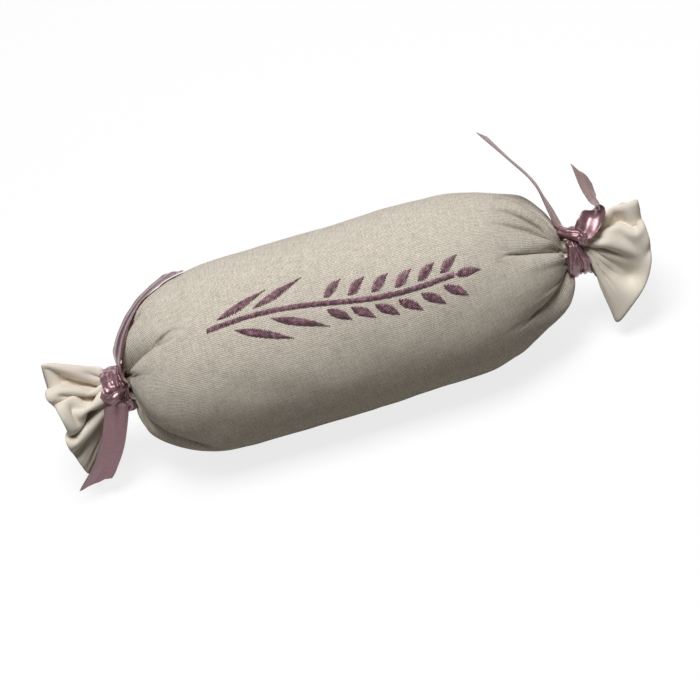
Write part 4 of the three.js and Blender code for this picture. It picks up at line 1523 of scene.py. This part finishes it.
RIGHT_STRANDS = [
    {"stops": [(-2.8, 5.6, 3.6), (-2.8, 6.0, 5.4), (-1.3, 5.2, 7.0), (0.3, 4.2, 7.9), (1.8, 3.2, 8.3),
               (2.8, 2.2, 7.9), (2.8, 1.2, 6.4)],
     "across": (0.4, 0.75, 0.5), "widths": (3.6, 4.2, 3.8), "curl": 150, "pleats": 3},
    {"stops": [(1.0, 4.9, 6.2), (1.7, 4.4, 8.2), (2.2, 3.1, 9.3), (2.2, 1.8, 8.9), (1.6, 0.9, 7.2)],
     "across": (0.9, 0.3, 0.2), "widths": (2.4, 2.8, 2.2), "curl": 110, "pleats": 2},
    {"stops": [(0.2, 2.6, 5.8), (0.4, 0.6, 6.8), (0.5, -2.0, 6.7), (0.9, -4.6, 5.0), (1.2, -6.7, 1.4),
               (1.2, -5.6, -2.6)],
     "across": (1, -0.2, 0), "widths": (1.6, 2.4, 4.0), "curl": 40, "pleats": 2},
    {"stops": [(-0.2, 3.0, 6.2), (-0.5, 1.0, 7.5), (-1.2, -1.6, 7.3), (-1.8, -4.4, 5.6), (-2.0, -6.8, 2.0),
               (-1.8, -6.0, -2.4)],
     "across": (1, 0.15, 0), "widths": (2.0, 2.8, 4.4), "curl": 50, "pleats": 2},
    {"stops": [(-2.0, 3.4, 6.2), (-1.4, 1.9, 7.2), (-1.0, 0.5, 7.3)],
     "across": (0.8, 0.4, 0.4), "widths": (1.6, 1.4, 1.2), "curl": 60, "pleats": 1},
]


class SACHET_OT_knots(bpy.types.Operator):
    """Tie the knot of each ribbon from its wrapped strands"""

    bl_idname = "sachet.knots"
    bl_label = "Ribbon knots"

    def execute(self, context):
        for side, strands in ((LEFT, LEFT_STRANDS), (RIGHT, RIGHT_STRANDS)):
            node = SIDE_NAMES[side] + "_ribbon_knot"
            made = []
            for index, strand in enumerate(strands):
                stops = [by_tie(side, *stop) for stop in strand["stops"]]
                across = [way_by_tie(*strand["across"])] * len(stops)

                def width(share, widths=strand["widths"]):
                    return float(np.interp(share, (0, 0.5, 1), widths)) * MM

                made.append(ribbon_strip(
                    f"strand_{index}", stops, across, width, along=40, across=16, curl=strand["curl"],
                    pleats=strand["pleats"], pleat_depth=0.24 * MM, crumple=0.62 * MM, turned=True,
                    seed=20 + index + 10 * side))
            piece = join(made, node + "_strands")
            hand_over(piece, node, "roll")
        return {"FINISHED"}


# Stage

class SACHET_OT_stage(bpy.types.Operator):
    """Set the pale floor, the soft light and the camera at the photograph's angle"""

    bl_idname = "sachet.stage"
    bl_label = "Floor, light and camera"

    azimuth = 5.0
    elevation = 40.0
    tilt = 20.1
    lens = 135.0
    frame_width = 196 * MM
    frame_pixels = 700
    centre_pixel = (347.5, 319.0)
    floor_size = 6.0
    floor_drop = 0.2 * MM
    glow_share = 0.8
    surroundings = 0.04
    # Place, power and size of each lamp
    lamps = {"key light": ((0.0, -0.16, 1.03), 10.6, 0.45), "back light": ((-0.15, 0.9, 0.5), 1.8, 0.5)}

    def execute(self, context):
        self.camera(context)
        self.floor()
        self.light(context)
        context.scene.view_settings.view_transform = "Standard"
        return {"FINISHED"}

    def camera(self, context):
        turn, rise, tilt = (math.radians(v) for v in (self.azimuth, self.elevation, self.tilt))
        back = Vector((math.sin(turn) * math.cos(rise), -math.cos(turn) * math.cos(rise), math.sin(rise)))
        right = Vector((math.cos(turn), math.sin(turn), 0))
        up = back.cross(right)
        across, upright = right, up
        right = across * math.cos(tilt) - upright * math.sin(tilt)
        up = upright * math.cos(tilt) + across * math.sin(tilt)
        pixel = self.frame_width / self.frame_pixels
        half = self.frame_pixels / 2
        aim = Vector((0, 0, sizes().axis_height))
        aim += right * ((half - self.centre_pixel[0]) * pixel) - up * ((half - self.centre_pixel[1]) * pixel)
        data = bpy.data.cameras.new("camera")
        data.lens = self.lens
        distance = data.lens * self.frame_width / data.sensor_width
        camera = placed("camera", data)
        place = Matrix((right, up, back)).transposed().to_4x4()
        place.translation = aim + back * distance
        camera.matrix_world = place
        context.scene.camera = camera

    def floor(self):
        deselect()
        bpy.ops.mesh.primitive_plane_add(size=self.floor_size, location=(0, 0, -self.floor_drop))
        floor = bpy.context.object
        floor.name = "floor"
        bpy.ops.object.transform_apply(location=True, rotation=True, scale=True)
        material = bpy.data.materials.new("pale floor")
        material.use_nodes = True
        tree = material.node_tree
        tree.nodes.remove(tree.nodes["Principled BSDF"])

        def add(kind, **values):
            node = tree.nodes.new(kind)
            for name, value in values.items():
                node.inputs[name].default_value = value
            return node

        path = add("ShaderNodeLightPath")
        shown = path.outputs["Is Camera Ray"]
        for ray in ("Is Glossy Ray", "Is Transmission Ray"):
            either = add("ShaderNodeMath")
            either.operation = "MAXIMUM"
            tree.links.new(shown, either.inputs[0])
            tree.links.new(path.outputs[ray], either.inputs[1])
            shown = either.outputs[0]
        plain = add("ShaderNodeBsdfDiffuse", Color=(*colours().floor, 1))
        pale = add("ShaderNodeBsdfDiffuse", Color=(1, 1, 1, 1))
        glow = add("ShaderNodeEmission", Color=(1, 1, 1, 1), Strength=1.0)
        bright = add("ShaderNodeMixShader", Fac=self.glow_share)
        choice = add("ShaderNodeMixShader")
        tree.links.new(shown, choice.inputs["Fac"])
        for mixer, first, second in ((bright, pale, glow), (choice, plain, bright)):
            tree.links.new(first.outputs[0], mixer.inputs[1])
            tree.links.new(second.outputs[0], mixer.inputs[2])
        tree.links.new(choice.outputs[0], tree.nodes["Material Output"].inputs["Surface"])
        dress(floor, material)

    def light(self, context):
        for name, values in self.lamps.items():
            self.lamp(name, *values)
        world = bpy.data.worlds.new("soft surroundings")
        context.scene.world = world
        world.use_nodes = True
        tree = world.node_tree
        back = tree.nodes["Background"]
        back.inputs["Color"].default_value = (1, 1, 1, 1)
        path = tree.nodes.new("ShaderNodeLightPath")
        level = tree.nodes.new("ShaderNodeMapRange")
        level.inputs["To Min"].default_value = self.surroundings
        level.inputs["To Max"].default_value = 1.0
        tree.links.new(path.outputs["Is Camera Ray"], level.inputs["Value"])
        tree.links.new(level.outputs["Result"], back.inputs["Strength"])

    def lamp(self, name, place, power, size):
        data = bpy.data.lights.new(name, "AREA")
        data.energy = power
        data.size = size
        lamp = placed(name, data)
        lamp.location = place
        aim = Vector((0, 0, sizes().axis_height)) - Vector(place)
        lamp.rotation_euler = aim.to_track_quat("-Z", "Y").to_euler()


OPERATORS = (
    SACHET_OT_stage,
    SACHET_OT_cloth,
    SACHET_OT_filling,
    SACHET_OT_embroidery,
    SACHET_OT_seam,
    SACHET_OT_bands,
    SACHET_OT_knots,
    SACHET_OT_tails,
)
GROUPS = {"sachet_sizes": SachetSizes, "sachet_colours": SachetColours, "sachet_cloth": SachetCloth}


class SACHET_PT_panel(bpy.types.Panel):
    """The sachet's steps and sizes in the sidebar"""

    bl_idname = "SACHET_PT_panel"
    bl_label = "Lavender sachet"
    bl_space_type = "VIEW_3D"
    bl_region_type = "UI"
    bl_category = "Sachet"

    def draw(self, context):
        for step in OPERATORS:
            self.layout.operator(step.bl_idname)
        for name, group in GROUPS.items():
            box = self.layout.box()
            for value in group.__annotations__:
                box.prop(getattr(context.scene, name), value)


def register():
    for group in GROUPS.values():
        bpy.utils.register_class(group)
    for name, group in GROUPS.items():
        setattr(bpy.types.Scene, name, PointerProperty(type=group))
    for step in OPERATORS:
        bpy.utils.register_class(step)
    bpy.utils.register_class(SACHET_PT_panel)


def unregister():
    bpy.utils.unregister_class(SACHET_PT_panel)
    for step in reversed(OPERATORS):
        bpy.utils.unregister_class(step)
    for name in GROUPS:
        delattr(bpy.types.Scene, name)
    for group in reversed(list(GROUPS.values())):
        bpy.utils.unregister_class(group)


def main():
    register()
    bpy.ops.sachet.stage()
    bpy.ops.sachet.cloth()
    bpy.ops.sachet.filling()
    bpy.ops.sachet.embroidery()
    bpy.ops.sachet.seam()
    bpy.ops.sachet.bands()
    bpy.ops.sachet.knots()
    bpy.ops.sachet.tails()
    bpy.context.view_layer.update()


if __name__ == "__main__":
    main()
